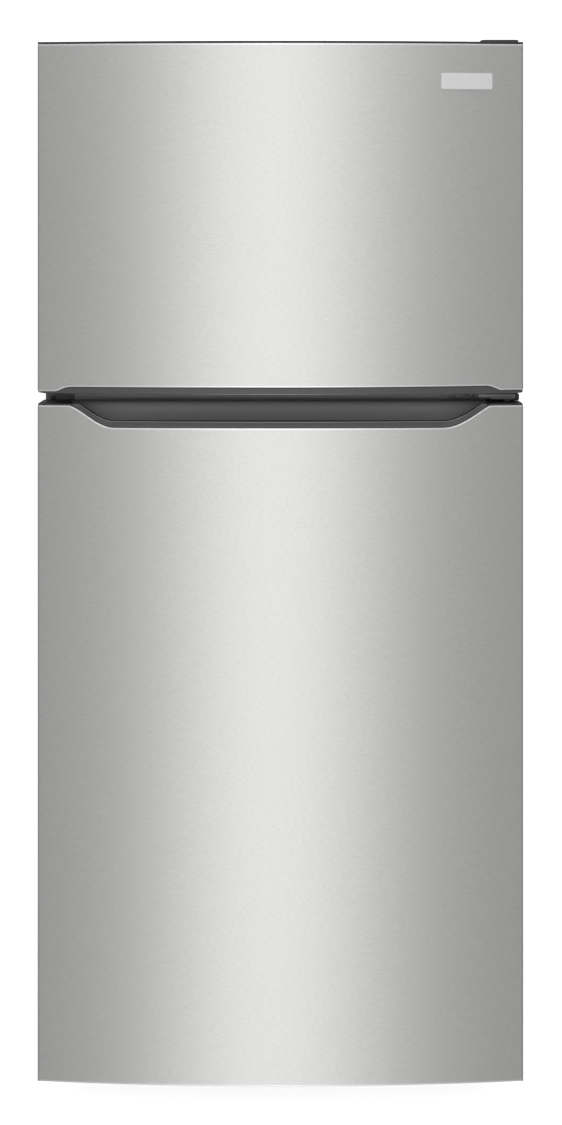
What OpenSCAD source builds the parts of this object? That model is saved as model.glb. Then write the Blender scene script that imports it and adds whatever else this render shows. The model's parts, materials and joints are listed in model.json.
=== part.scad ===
// Top freezer refrigerator: foamed steel cabinet, two bowed doors, shelves, drawers, bins and the
// cooling circuit. X runs left to right, Y from front to back, Z up. The origin is on the floor,
// under the middle of the appliance.

/* [Cabinet] */
// Width across the doors
door_w = 766; // [764:1:770]
// Width of the steel cabinet
cabinet_w = 762; // [760:1:764]
// Half of the depth, from the bow of the doors to the rear cover
half_depth = 386; // [384:1:390]
// Height of the cabinet's steel top
cabinet_top = 1665; // [1664:1:1666]
// Height of the cabinet's underside
cabinet_bottom = 40; // [40:1:41]
// Side wall, from the steel to the inside of the liner
wall_t = 49; // [48:1:50]
// Thickness of the sheet steel
sheet = 1; // [0.8:0.1:1]
// Thickness of the moulded liners
liner_t = 2; // [1.8:0.1:2]

/* [Doors] */
// How far the door fronts bow out at the middle
door_bow = 16; // [12:1:18]
// Thickness of a door at its side edges
door_t = 64; // [63:1:64]
// Space between door and cabinet, closed by the gasket
seal_gap = 10; // [10:1:11]
// Top of the freezer door
doors_top = 1674; // [1673:0.5:1674]
// Underside of the freezer door
freezer_door_z = 1118; // [1117:0.5:1118]
// Top of the refrigerator door
fridge_door_top = 1104.5; // [1103:0.5:1104.5]
// Underside of the refrigerator door
doors_bottom = 38; // [38:0.5:39]
// Depth of the grip scoop in the refrigerator door's steel
grip_drop = 34.5; // [20:0.5:36]
// Height of the scoop in the freezer door's steel
lip_rise = 8; // [4:1:10]
// Distance of the hinge line from the middle
hinge_x = 362; // [361:1:363]

/* [Inside] */
// Floor and ceiling of the refrigerator compartment
fridge_z = [80, 1075]; // [78:1:1076]
// Floor and ceiling of the freezer compartment
freezer_z = [1145, 1603]; // [1144:1:1604]
// Undersides of the two glass shelves
shelf_z = [560, 800]; // [520:10:840]
// Underside of the crisper cover
crisper_z = 297; // [297:1:300]
// How deep the door bins reach, from the door's inner face
bin_d = 118; // [90:1:119]

/* [Hidden] */
$fn = 48;

fit = 0.05;                                   // radial clearance of a running shaft
eps = 0.01;                                   // how far a cut overshoots
door_half = door_w / 2;
cab_half = cabinet_w / 2;
inner_half = cab_half - wall_t;               // inside of both liners
tub_half = inner_half + liner_t;
front_y = -half_depth;                        // middle of the bowed doors
door_edge_y = front_y + door_bow;
door_back_y = door_edge_y + door_t;           // back of the steel and the foam
liner_y = door_back_y + liner_t;              // inner face of a door's flat liner
cab_y = door_back_y + seal_gap;               // front of the cabinet
rear_y = half_depth;
back_y = rear_y - 2;                          // steel back of the cabinet
tub_y = 320;                                  // inside of the liners' back wall
hinge_y = -330;
pin_r = 5;
cap_edge = 2.5;                               // visible edge of a door cap
cap_inset = 0.5;                              // door caps stand in from the steel
bow_steps = 24;

// grip scoops: how far from the door's edge they start and where they reach full depth
grip_start = 53;
grip_end = 125;
lip_start = 30;
lip_end = 55;
pull_half = 290;                              // finger recess under the freezer door
pull_h = 26;
pocket_back_y = -332;
pocket_floor_z = fridge_door_top - 66;

// machine compartment behind the crisper drawers
machine_y = 200;
machine_z = 262;
hump_y = 165;
hump_z = 296;
deck_z = 42;

dyke_half = 322;                              // raised rim on the door liners
dyke_w = 22;
dyke_y = -262;
bin_half = 297;
bin_y = liner_y + bin_d;
bin_t = 2.5;

roller_r = 19;
foot_x = 322;
leg_y = -255;
roller_y = 330;
roller_plate = 1.4;                           // thin enough to clear the top of the roller
axle_r = 4;
leg_r = 5;
rib_y = [-135, 300];                          // reach of the shelf ribs on the side walls

fan_z = 1450;
plate_y = 262;                                // freezer rear panel
cond_fan_x = 60;                              // condenser fan, blowing along X
cond_fan_y = 290;
cond_fan_z = 150;
comp_x = -190;
comp_y = 296;

control_y = -225;
control_z = 1037;
knob_x = 70;
switch_x = -90;
control_mid = 1056;
freezer_knob_x = 220;
freezer_knob_z = 1200;

// ---- helpers ----

module block(lo, hi) { translate(lo) cube(hi - lo); }

module along_x(x0, x1) { translate([x0, 0, 0]) rotate([90, 0, 90]) linear_extrude(x1 - x0) children(); }

module along_y(y0, y1) { translate([0, y1, 0]) rotate([90, 0, 0]) linear_extrude(y1 - y0) children(); }

module along_z(z0, z1) { translate([0, 0, z0]) linear_extrude(z1 - z0) children(); }

module rod(a, b, r) {
  d = b - a;
  translate(a) rotate([0, acos(d[2] / norm(d)), atan2(d[1], d[0])]) cylinder(h = norm(d), r = r);
}

// a bent tube through the given points, with ball corners
module tube_run(points, r) {
  for (i = [0:len(points) - 2]) rod(points[i], points[i + 1], r);
  for (i = [1:len(points) - 2]) translate(points[i]) sphere(r * 1.03, $fn = 24);
}

module both_sides() {
  children();
  mirror([1, 0, 0]) children();
}

// rounded rectangle from lo to hi
module rrect(lo, hi, r) {
  corners = [[hi[0] - r, hi[1] - r], [lo[0] + r, hi[1] - r], [lo[0] + r, lo[1] + r], [hi[0] - r, lo[1] + r]];
  polygon([for (k = [0:3], a = [0:15:90]) corners[k] + r * [cos(90 * k + a), sin(90 * k + a)]]);
}

// tray open at the top: outer size, wall and floor thickness
module tray(lo, hi, t) {
  difference() {
    along_z(lo[2], hi[2]) rrect([lo[0], lo[1]], [hi[0], hi[1]], 8);
    along_z(lo[2] + t, hi[2] + 1) rrect([lo[0] + t, lo[1] + t], [hi[0] - t, hi[1] - t], 8 - t);
  }
}

// ---- door shapes ----

function bow_y(x) = front_y + door_bow * pow(x / door_half, 2);

// plan outline of a door, a given distance inside its outer surface
module door_plan(inset, back = door_back_y) {
  w = door_half - inset;
  polygon(concat(
    [for (i = [0:bow_steps]) let (x = w * (2 * i / bow_steps - 1)) [x, bow_y(x) + inset]],
    [[w, back], [-w, back]]
  ));
}

// fraction of the full scoop depth at a distance from the door's edge
function scoop(d, from, to) = d <= from ? 0 : d >= to ? 1 : pow(sin(90 * (d - from) / (to - from)), 1.2);

// front view of a grip scoop: open end at z, cut to depth (negative cuts downwards)
module scoop_face(z, depth, from, to) {
  steps = 12;
  ds = [for (i = [0:steps]) from + (to - from) * i / steps];
  over = depth > 0 ? -20 : 20;
  polygon(concat(
    [[-door_half + from, z + over]],
    [for (d = ds) [-door_half + d, z + depth * scoop(d, from, to)]],
    [for (i = [steps:-1:0]) [door_half - ds[i], z + depth * scoop(ds[i], from, to)]],
    [[door_half - from, z + over]]
  ));
}

module door_skin(z0, z1) {
  difference() {
    along_z(z0, z1) door_plan(0);
    along_z(z0 - 1, z1 + 1) door_plan(sheet, door_back_y + 1);
    children();
  }
}

module hinge_bore(z0, z1) { translate([hinge_x, hinge_y, z0]) cylinder(h = z1 - z0, r = pin_r + fit); }

// inner liner of a door: flat sheet with a hollow rim that reaches into the compartment
module door_liner(z0, z1, rim_z0, rim_z1) {
  difference() {
    union() {
      block([-cab_half, door_back_y, z0], [cab_half, liner_y, z1]);
      along_y(door_back_y, dyke_y) difference() {
        rrect([-dyke_half, rim_z0], [dyke_half, rim_z1], 14);
        rrect([-dyke_half + dyke_w, rim_z0 + dyke_w], [dyke_half - dyke_w, rim_z1 - dyke_w], 8);
      }
    }
    rim_core(rim_z0, rim_z1, door_back_y - 1);
  }
}

// foam inside the rim of a door liner
module rim_core(rim_z0, rim_z1, from_y) {
  t = liner_t;
  along_y(from_y, dyke_y - liner_t) difference() {
    rrect([-dyke_half + t, rim_z0 + t], [dyke_half - t, rim_z1 - t], 12);
    rrect([-dyke_half + dyke_w - t, rim_z0 + dyke_w - t], [dyke_half - dyke_w + t, rim_z1 - dyke_w + t], 10);
  }
}

module gasket(z0, z1) {
  edge = hinge_x;
  lip = 14;
  along_y(liner_y, cab_y) difference() {
    rrect([-edge, z0], [edge, z1], 10);
    rrect([-edge + lip, z0 + lip], [edge - lip, z1 - lip], 6);
  }
}

// a door bin: open tub with a block on each side that sits against the rim of the liner
module door_bin(z, h) {
  hook_y = liner_y + 12;
  hook = 18;
  tray([-bin_half, liner_y, z], [bin_half, bin_y, z + h], bin_t);
  hook_z = z + h - 8;
  both_sides() block([bin_half - eps, hook_y, hook_z - hook], [dyke_half - dyke_w, hook_y + hook, hook_z]);
}

// ---- freezer door ----

freezer_steel = [freezer_door_z + 5, doors_top - cap_edge];
freezer_plug = [freezer_steel[0] + 27, freezer_steel[1] - 21];
freezer_rim = [freezer_z[0] + 8, freezer_z[1] - 8];

module freezer_door_skin() color("silver")
  door_skin(freezer_steel[0], freezer_steel[1])
    along_y(front_y - 1, door_edge_y + 12) scoop_face(freezer_steel[0], lip_rise, lip_start, lip_end);

module freezer_top_cap() color("dimgray") difference() {
  union() {
    along_z(freezer_steel[1], doors_top) door_plan(cap_inset);
    along_z(freezer_plug[1], freezer_steel[1]) door_plan(sheet);
  }
  hinge_bore(freezer_plug[1] - 1, doors_top + 1);
}

module freezer_bottom_cap() color("dimgray") difference() {
  union() {
    along_z(freezer_door_z, freezer_steel[0]) door_plan(cap_inset);
    along_z(freezer_steel[0], freezer_plug[0]) door_plan(sheet);
    intersection() {
      along_z(freezer_steel[0], freezer_plug[0]) door_plan(cap_inset);
      along_y(front_y - 1, door_edge_y + 12) scoop_face(freezer_steel[0], lip_rise, lip_start, lip_end);
    }
  }
  hinge_bore(freezer_door_z - 1, freezer_plug[0] - 4);
  block([-pull_half, door_edge_y + 2, freezer_door_z - 1], [pull_half, pocket_back_y, freezer_door_z + pull_h]);
}

module freezer_door_foam() color("wheat") {
  along_z(freezer_plug[0], freezer_plug[1]) door_plan(sheet);
  rim_core(freezer_rim[0], freezer_rim[1], door_back_y);
}

module freezer_door_liner() color("white")
  door_liner(freezer_door_z + 2, doors_top - 2, freezer_rim[0], freezer_rim[1]);

rack_z = [1215, 1400];                        // undersides of the freezer door's racks
rack_h = 62;

module freezer_racks() color("whitesmoke") for (z = rack_z) door_bin(z, rack_h);

module freezer_gasket() color("gainsboro") gasket(freezer_z[0] - 19, cabinet_top - 5);

badge_x = [252, 333];
badge_z = [1599, 1624.5];
badge_t = 2;

// blank nameplate that follows the bow of the door
module badge() color("lightgray") along_z(badge_z[0], badge_z[1]) polygon(concat(
  [for (x = [badge_x[0]:9:badge_x[1]]) [x, bow_y(x) - badge_t]],
  [for (x = [badge_x[1]:-9:badge_x[0]]) [x, bow_y(x) - 0.1]]
));

// ---- refrigerator door ----

fridge_steel = [doors_bottom + cap_edge, fridge_door_top - cap_edge];
fridge_plug = [fridge_steel[0] + 20, pocket_floor_z - 14];
fridge_rim = [fridge_z[0] + 10, fridge_z[1] - 10];

module fridge_door_skin() color("silver")
  door_skin(fridge_steel[0], fridge_steel[1])
    along_y(front_y - 1, door_edge_y + 12) scoop_face(fridge_steel[1], -grip_drop, grip_start, grip_end);

// top cap with the grip pocket: a scooped front lip, a deep trough and a rear wall
module fridge_top_cap() color("dimgray") difference() {
  rim = 8;
  union() {
    along_z(fridge_steel[1], fridge_door_top) door_plan(cap_inset);
    along_z(fridge_plug[1], fridge_steel[1]) door_plan(sheet);
  }
  along_y(front_y - 1, door_edge_y - 6) scoop_face(fridge_steel[1], -grip_drop, grip_start, grip_end);
  along_y(door_edge_y - 7, pocket_back_y) scoop_face(fridge_steel[1], rim - grip_drop, grip_start, grip_end);
  block(
    [-door_half + grip_end, door_edge_y + 4, pocket_floor_z],
    [door_half - grip_end, pocket_back_y, fridge_door_top + 1]
  );
  hinge_bore(fridge_door_top - 24, fridge_door_top + 1);
}

module fridge_bottom_cap() color("dimgray") difference() {
  union() {
    along_z(doors_bottom, fridge_steel[0]) door_plan(cap_inset);
    along_z(fridge_steel[0], fridge_plug[0]) door_plan(sheet);
  }
  hinge_bore(doors_bottom - 1, fridge_plug[0] + 1);
}

module fridge_door_foam() color("wheat") difference() {
  union() {
    along_z(fridge_plug[0], fridge_plug[1]) door_plan(sheet);
    rim_core(fridge_rim[0], fridge_rim[1], door_back_y);
  }
  block([-door_half, front_y, fridge_plug[1]], [door_half, door_back_y, fridge_door_top]);
}

module fridge_door_liner() color("white")
  door_liner(doors_bottom + 2, fridge_door_top - 2, fridge_rim[0], fridge_rim[1]);

module fridge_gasket() color("gainsboro") gasket(fridge_z[0] - 30, fridge_z[1] + 19);

dairy_z = [925, 1030];
dairy_half = 150;
dairy_pivot = [bin_y - 8, dairy_z[1] - 7];    // Y and Z of the dairy cover's pivot

bins = [[114, 118], [400, 90], [660, 80]];    // underside and height of each bin

module door_bins() color("whitesmoke") {
  for (bin = bins) door_bin(bin[0], bin[1]);
  // dairy compartment, open towards the inside, with pivot pins for its cover
  difference() {
    block([-dairy_half, liner_y, dairy_z[0]], [dairy_half, bin_y - 16, dairy_z[1]]);
    block(
      [-dairy_half + bin_t, liner_y + bin_t, dairy_z[0] + bin_t],
      [dairy_half - bin_t, bin_y, dairy_z[1] - bin_t]
    );
  }
  both_sides() {
    block([dairy_half - bin_t, bin_y - 17, dairy_z[1] - 14], [dairy_half, bin_y, dairy_z[1]]);
    dairy_pin(dairy_half - 10, dairy_half - bin_t + eps, 2.5);
  }
}

// round piece on the dairy cover's pivot line
module dairy_pin(x0, x1, r) { rod([x0, dairy_pivot[0], dairy_pivot[1]], [x1, dairy_pivot[0], dairy_pivot[1]], r); }

module dairy_cover() color("lightblue") {
  reach = dairy_half - bin_t - 1;
  difference() {
    union() {
      block([-reach, bin_y - 11, dairy_z[0]], [reach, bin_y - 8, dairy_pivot[1]]);
      block([-reach, bin_y - 11, dairy_z[0]], [reach, bin_y - 1, dairy_z[0] + 3]);
      both_sides() dairy_pin(reach - 10, reach, 5);
    }
    both_sides() dairy_pin(reach - 11, reach + 1, 2.5 + fit);
  }
}

// ---- cabinet ----

module cabinet_shell() color("gray") difference() {
  block([-cab_half, cab_y, cabinet_bottom], [cab_half, back_y, cabinet_top]);
  edge = cab_half - sheet;
  block([-edge, cab_y + sheet, cabinet_bottom - 1], [edge, back_y + 1, cabinet_top - sheet]);
  block([-tub_half, cab_y - 1, fridge_z[0] - liner_t], [tub_half, cab_y + 2, freezer_z[1] + liner_t]);
}

module back_panel() color("gray")
  block([-cab_half + sheet, back_y - sheet, machine_z], [cab_half - sheet, back_y, cabinet_top - sheet]);

// side view of the refrigerator compartment, grown outwards by t
module fridge_side(t, front) {
  polygon([
    [front, fridge_z[0] - t], [hump_y + t, fridge_z[0] - t], [hump_y + t, hump_z - t],
    [tub_y + t, hump_z - t], [tub_y + t, fridge_z[1] + t], [front, fridge_z[1] + t]
  ]);
}

module fridge_tub(t, front) { along_x(-inner_half - t, inner_half + t) fridge_side(t, front); }

module freezer_tub(t, front) {
  block([-inner_half - t, front, freezer_z[0] - t], [inner_half + t, tub_y + t, freezer_z[1] + t]);
}

module liner_flange(z0, z1) {
  lip = 13;
  block([-tub_half - lip, cab_y + sheet, z0], [tub_half + lip, cab_y + sheet + 2, z1]);
}

module freezer_liner() color("white") difference() {
  union() {
    freezer_tub(liner_t, cab_y);
    liner_flange(freezer_z[0] - liner_t, freezer_z[1] + 14);
  }
  difference() {
    freezer_tub(0, cab_y - 1);
    // bosses that carry the wire shelf
    for (y = [-110, 220]) both_sides() rod([inner_half - 14, y, 1364], [inner_half + 1, y, 1364], 5);
  }
}

module fridge_liner() color("white") difference() {
  union() {
    fridge_tub(liner_t, cab_y);
    liner_flange(fridge_z[0] - 14, fridge_z[1] + liner_t);
  }
  difference() {
    fridge_tub(0, cab_y - 1);
    // ribs that carry the shelves
    for (z = concat(shelf_z, [crisper_z, 440, 680])) both_sides()
      block([inner_half - 9, rib_y[0], z - 5], [inner_half + 1, rib_y[1], z]);
  }
}

module cabinet_foam() color("wheat") difference() {
  edge = cab_half - sheet;
  block([-edge, cab_y + 3, cabinet_bottom + sheet], [edge, back_y - sheet, cabinet_top - sheet]);
  freezer_tub(liner_t, cab_y);
  fridge_tub(liner_t, cab_y);
  block([-tub_half, cab_y, fridge_z[1] + liner_t - eps], [tub_half, cab_y + 16, freezer_z[0] - liner_t + eps]);
  block([-door_half, machine_y, 0], [door_half, rear_y, machine_z]);
}

module mullion_rail() color("dimgray") difference() {
  z0 = fridge_z[1] + liner_t;
  z1 = freezer_z[0] - liner_t;
  block([-tub_half, cab_y, z0], [tub_half, cab_y + 16, z1]);
  block([-tub_half - 1, cab_y + 1.5, z0 + 1.5], [tub_half + 1, cab_y + 17, z1 - 1.5]);
}

// floor pan, step over the machine compartment, side rails, leg brackets and roller brackets
module base_frame() color("slategray") {
  z = cabinet_bottom;
  edge = cab_half - sheet;
  block([-edge, cab_y + sheet, z], [edge, machine_y, z + sheet]);
  block([-edge, machine_y, z], [edge, machine_y + 1, machine_z]);
  block([-edge, machine_y, machine_z - 1], [edge, back_y - sheet, machine_z]);
  both_sides() {
    block([edge - 2, cab_y + 16, z - 20], [edge, back_y - 8, z]);
    difference() {
      block([foot_x - 23, leg_y - 24, z - 18], [foot_x + 23, leg_y + 24, z]);
      block([foot_x - 20, leg_y - 25, z - 12], [foot_x + 20, leg_y + 25, z + 1]);
      translate([foot_x, leg_y, z - 19]) cylinder(h = 20, r = leg_r + fit);
    }
    block([foot_x - 18, roller_y - 40, z - roller_plate], [edge - 1, roller_y + 20, z]);
    for (x = [foot_x - 18, foot_x + 15]) block([x, roller_y - 9, roller_r - 9], [x + 3, roller_y + 9, z]);
    rod([foot_x - 15 - eps, roller_y, roller_r], [foot_x + 15 + eps, roller_y, roller_r], axle_r);
  }
}

// floor of the machine compartment
module machine_deck() color("slategray") difference() {
  edge = cab_half - sheet;
  union() {
    block([-edge, machine_y + 1, cabinet_bottom], [edge, back_y - sheet, deck_z]);
    both_sides() block([edge - 2, machine_y + 1, deck_z], [edge, back_y - sheet, deck_z + 25]);
  }
  for (x = [-90:30:30]) block([x, 230, 0], [x + 14, 350, deck_z + 1]);
}

module toe_grille() color("dimgray") difference() {
  block([-334, cab_y + 4, 9], [334, cab_y + 16, 36]);
  block([-332, cab_y + 6, 7], [332, cab_y + 17, 34]);
  for (x = [-320:26:306], z = [15, 25]) block([x, cab_y, z], [x + 18, cab_y + 20, z + 5]);
}

// ---- hinges ----

hinge_arm_z = doors_top + 1;                  // underside of the top hinge's arm
center_plate = [1108.8, 1113.8];
center_leaf = [[hinge_x - 90, fridge_door_top + 1], [hinge_x - 3, freezer_door_z - 1]];
leaf_t = 3.5;

module top_hinge() color("darkgray") {
  difference() {
    along_x(hinge_x - 38, hinge_x + 14) polygon([
      [hinge_y - 15, hinge_arm_z], [cab_y + 8, hinge_arm_z], [cab_y + 8, cabinet_top],
      [cab_y + 61, cabinet_top], [cab_y + 61, cabinet_top + 3], [cab_y + 11, cabinet_top + 3],
      [cab_y + 11, hinge_arm_z + 3], [hinge_y - 15, hinge_arm_z + 3]
    ]);
    for (p = top_screws) translate([p[0], p[1], cabinet_top - 1]) cylinder(h = 6, r = 3.4);
  }
  translate([hinge_x, hinge_y, freezer_plug[1] + 2]) cylinder(h = hinge_arm_z - freezer_plug[1] - 1, r = pin_r);
}

module top_hinge_cover() color("dimgray") difference() {
  x = [hinge_x - 43, hinge_x + 17];
  y = [-352, -228];
  t = 1.5;
  union() {
    along_z(doors_top + 0.6, doors_top + 6) rrect([x[0], y[0]], [x[1], y[1]], 9);
    along_z(cabinet_top + 0.2, doors_top + 6) rrect([x[0], cab_y + 2], [x[1], y[1]], 9);
  }
  along_z(cabinet_top - 1, doors_top + 6 - t) rrect([x[0] + t, y[0] + t], [x[1] - t, y[1] - t], 9 - t);
}

module center_hinge() color("darkgray") {
  difference() {
    union() {
      along_y(cab_y - leaf_t, cab_y) rrect(center_leaf[0], center_leaf[1], 3);
      along_z(center_plate[0], center_plate[1]) rrect([hinge_x - 30, hinge_y - 14], [hinge_x + 13, cab_y - 2], 6);
    }
    for (p = center_screws) rod([p[0], cab_y - 5, p[1]], [p[0], cab_y + 1, p[1]], 3.4);
  }
  pin_z = [fridge_door_top - 20, freezer_plug[0] - 8];
  translate([hinge_x, hinge_y, pin_z[0]]) cylinder(h = pin_z[1] - pin_z[0], r = pin_r);
  translate([hinge_x, hinge_y, center_plate[1] - eps]) cylinder(h = 4, r = 9);
}

module bottom_hinge() color("darkgray") {
  difference() {
    union() {
      along_z(32, 36) rrect([hinge_x - 22, hinge_y - 15], [hinge_x + 16, cab_y + 14], 5);
      block([hinge_x - 17, cab_y + 3, 36 - eps], [hinge_x + 14, cab_y + 13, cabinet_bottom]);
    }
    for (p = bottom_screws) translate([p[0], p[1], 30]) cylinder(h = 8, r = 3.4);
  }
  translate([hinge_x, hinge_y, 34]) cylinder(h = fridge_plug[0] - 36, r = pin_r);
  translate([hinge_x, hinge_y, 36 - eps]) cylinder(h = 1.8, r = 9);
}

top_screws = [for (p = [[-28, 24], [-2, 24], [-15, 46]]) [hinge_x + p[0], cab_y + p[1]]];
center_screws = [for (x = [-82, -52]) [hinge_x + x, (fridge_door_top + freezer_door_z) / 2]];
bottom_screws = [for (x = [-11, 5]) [hinge_x + x, cab_y + 8]];

// hexagon flange screws: head towards the viewer's side, shank through the bracket
module hex_screw(shank, r = 6.5) {
  cylinder(h = 1, r = r);
  translate([0, 0, 1 - eps]) cylinder(h = 3, r = r - 1, $fn = 6);
  translate([0, 0, -shank]) cylinder(h = shank + eps, r = 3);
}

module hinge_screws() color("silver") {
  for (p = top_screws) translate([p[0], p[1], cabinet_top + 3]) hex_screw(2.9);
  for (p = center_screws)
    translate([p[0], cab_y - leaf_t, p[1]]) rotate([90, 0, 0]) hex_screw(leaf_t - 0.1, 5);
  for (p = bottom_screws) translate([p[0], p[1], 32]) rotate([180, 0, 0]) hex_screw(3.9);
}

// ---- freezer compartment ----

// finned coil with the sheathed defrost heater clipped in below it
module evaporator() color("lightsteelblue") {
  tube_r = 4;
  pitch = 36;
  y = 288;
  half = 230;
  rows = 5;
  z0 = 1196;
  for (i = [0:rows - 1]) rod([-half, y, z0 + pitch * i], [half, y, z0 + pitch * i], tube_r);
  for (i = [0:rows - 2]) {
    side = i % 2 == 0 ? 1 : -1;
    translate([side * half, y, z0 + pitch * (i + 0.5)]) rotate([90, side * 90 - 90, 0]) rotate([0, 0, -90])
      rotate_extrude(angle = 180) translate([pitch / 2, 0]) circle(r = tube_r, $fn = 24);
  }
  for (x = [-216:18:216]) block([x, y - 15, z0 - 14], [x + 0.6, y + 15, z0 + pitch * (rows - 1) + 14]);
  heater_z = z0 - 30;
  heater_half = 226;
  rod([-heater_half, y, heater_z], [heater_half, y, heater_z], 5);
  both_sides() block([heater_half - eps, y - 10, heater_z - 8], [heater_half + 14, y + 10, heater_z + 8]);
}

module evaporator_cover() color("white") difference() {
  union() {
    block([-inner_half + 2, plate_y, freezer_z[0] + 2], [inner_half - 2, plate_y + 2, freezer_z[1] - 2]);
    both_sides() block([inner_half - 4, plate_y, freezer_z[0] + 2], [inner_half - 2, tub_y - 1, freezer_z[1] - 2]);
    rod([0, plate_y - 4, fan_z], [0, plate_y + 2, fan_z], 74);
  }
  for (i = [-5:5]) {
    w = sqrt(60 * 60 - 121 * i * i);
    block([-w, plate_y - 5, fan_z + 11 * i - 3], [w, plate_y + 3, fan_z + 11 * i + 3]);
  }
  rod([0, plate_y - 2, fan_z], [0, plate_y + 3, fan_z], 62);
  for (x = [-290:26:290]) block([x, plate_y - 1, 1156], [x + 14, plate_y + 3, 1180]);
  rod([freezer_knob_x, plate_y - 1, freezer_knob_z], [freezer_knob_x, plate_y + 3, freezer_knob_z], 3 + fit);
}

module evaporator_fan_motor() color("dimgray") {
  for (a = [45:90:315]) translate([0, 0, fan_z]) rotate([0, a, 0]) {
    block([20, 290, -5], [70, 292, 5]);
    block([66, plate_y + 2, -5], [70, 292, 5]);
  }
  rod([0, 289, fan_z], [0, 314, fan_z], 26);
  rod([0, 266, fan_z], [0, 290, fan_z], 2);
}

// axial fan on the Y axis: hub with a bore for a 4 mm shaft and pitched blades
module fan_wheel(r, w, blades) {
  difference() {
    union() {
      rod([0, 0, 0], [0, w, 0], 13);
      intersection() {
        rod([0, 0, 0], [0, w, 0], r);
        for (i = [0:blades - 1]) rotate([0, 360 / blades * i, 0]) translate([0, w / 2, 0])
          rotate([28, 0, 0]) block([8, -0.8, -r * 0.42], [r + 4, 0.8, r * 0.42]);
      }
    }
    rod([0, -1, 0], [0, w + 1, 0], 2 + fit);
  }
}

module evaporator_fan_blade() color("black") translate([0, 268, fan_z]) fan_wheel(52, 16, 5);

module freezer_shelf() color("white") {
  y = [-133, 243];
  half = 322;
  z = 1369;
  bar = 6;
  wire = 3;
  for (v = [y[0], 52, y[1] - bar]) block([-half, v, z], [half, v + bar, z + bar]);
  both_sides() block([half - bar, y[0], z], [half, y[1], z + bar]);
  for (x = [-300:25:300]) block([x - wire / 2, y[0], z + bar - 1], [x + wire / 2, y[1], z + bar + 2]);
}

module knob(r) {
  rod([0, 0, 0], [0, 12, 0], r);
  rod([0, 12 - eps, 0], [0, 20, 0], 3);
  block([-3, -5, -r + 2], [3, eps, r - 2]);
}

module freezer_knob() color("gainsboro") translate([freezer_knob_x, plate_y - 12.3, freezer_knob_z]) knob(17);

// ---- refrigerator compartment ----

module control_box() color("white") difference() {
  block([-130, control_y, control_z], [130, 40, fridge_z[1]]);
  block([-128, control_y + 2, control_z + 2], [128, 38, fridge_z[1] + 1]);
  block([-92, -150, control_z - 1], [92, 20, control_z + 3]);
  rod([knob_x, control_y - 1, control_mid], [knob_x, control_y + 3, control_mid], 3 + fit);
  rod([switch_x, control_y - 1, control_mid], [switch_x, control_y + 3, control_mid], 5 + fit);
}

module lamp_cover() color("ivory") difference() {
  block([-92, -150, control_z - 3], [92, 20, control_z + 2]);
  block([-90, -148, control_z - 1], [90, 18, control_z + 3]);
}

module fridge_knob() color("gainsboro") translate([knob_x, control_y - 12.3, control_mid]) knob(15);

module light_switch() color("gainsboro") {
  rod([switch_x, dyke_y + 0.3, control_mid], [switch_x, control_y + 12, control_mid], 5);
  rod([switch_x, control_y + 11, control_mid], [switch_x, control_y + 14, control_mid], 8);
}

shelf_half = inner_half - 3;
shelf_y = [-130, 300];

// moulded rim round a glass pane, with a rebate for the glass
module shelf_rim(z, h, y0, y1) {
  difference() {
    along_z(z, z + h) rrect([-shelf_half, y0], [shelf_half, y1], 6);
    block([-shelf_half + 26, y0 + 32, z - 1], [shelf_half - 26, y1 - 26, z + h + 1]);
    block([-shelf_half + 20, y0 + 26, z + h - 4], [shelf_half - 20, y1 - 20, z + h + 1]);
  }
}

module pane(z, h, y0, y1) {
  block([-shelf_half + 20.2, y0 + 26.2, z + h - 4], [shelf_half - 20.2, y1 - 20.2, z + h - 0.5]);
}

crisper_top_y = [-150, tub_y - 4];
shelf_h = 14;

module shelf_frames() color("whitesmoke") for (z = shelf_z) shelf_rim(z, shelf_h, shelf_y[0], shelf_y[1]);

module shelf_glass() color("lightcyan") {
  for (z = shelf_z) pane(z, shelf_h, shelf_y[0], shelf_y[1]);
  pane(crisper_z, shelf_h, crisper_top_y[0], crisper_top_y[1]);
}

slider_x = 150;                               // closed position of a humidity slider
slider_run = 40;

module crisper_cover() color("whitesmoke") difference() {
  union() {
    shelf_rim(crisper_z, shelf_h, crisper_top_y[0], crisper_top_y[1]);
    block([-5, -142, fridge_z[0]], [5, 158, crisper_z + eps]);
  }
  for (x = [slider_x, -slider_x - slider_run]) {
    block([x - 10, crisper_top_y[0] - 1, crisper_z + 5], [x + slider_run + 10, crisper_top_y[0] + 8, crisper_z + 9]);
  }
}

module humidity_slider(x) {
  y = crisper_top_y[0];
  block([x - 8, y - 4, crisper_z + 2], [x + 8, y - 0.3, crisper_z + 12]);
  block([x - 6, y - 0.3 - eps, crisper_z + 5.4], [x + 6, y + 7, crisper_z + 8.6]);
}

module humidity_slider_left() color("gainsboro") humidity_slider(-slider_x - slider_run);

module humidity_slider_right() color("gainsboro") humidity_slider(slider_x);

crisper = [[8, -155, 84], [312, 150, 284]];

// drawer with a thick front and a finger lip along its top edge
module crisper_drawer() {
  lo = crisper[0];
  hi = crisper[1];
  difference() {
    union() {
      block(lo, hi);
      block([lo[0] + 50, lo[1] - 8, hi[2] - 16], [hi[0] - 50, lo[1] + eps, hi[2]]);
    }
    block([lo[0] + bin_t, lo[1] + 7, lo[2] + 3], [hi[0] - bin_t, hi[1] - bin_t, hi[2] + 1]);
    block([lo[0] + 53, lo[1] - 6, hi[2] - 17], [hi[0] - 53, lo[1] + eps / 2, hi[2] - 3]);
  }
}

module crisper_right() color("lightcyan") crisper_drawer();

module crisper_left() color("lightcyan") mirror([1, 0, 0]) crisper_drawer();

// ---- machine compartment ----

comp_z = deck_z + 16;
comp_h = 165;

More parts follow.
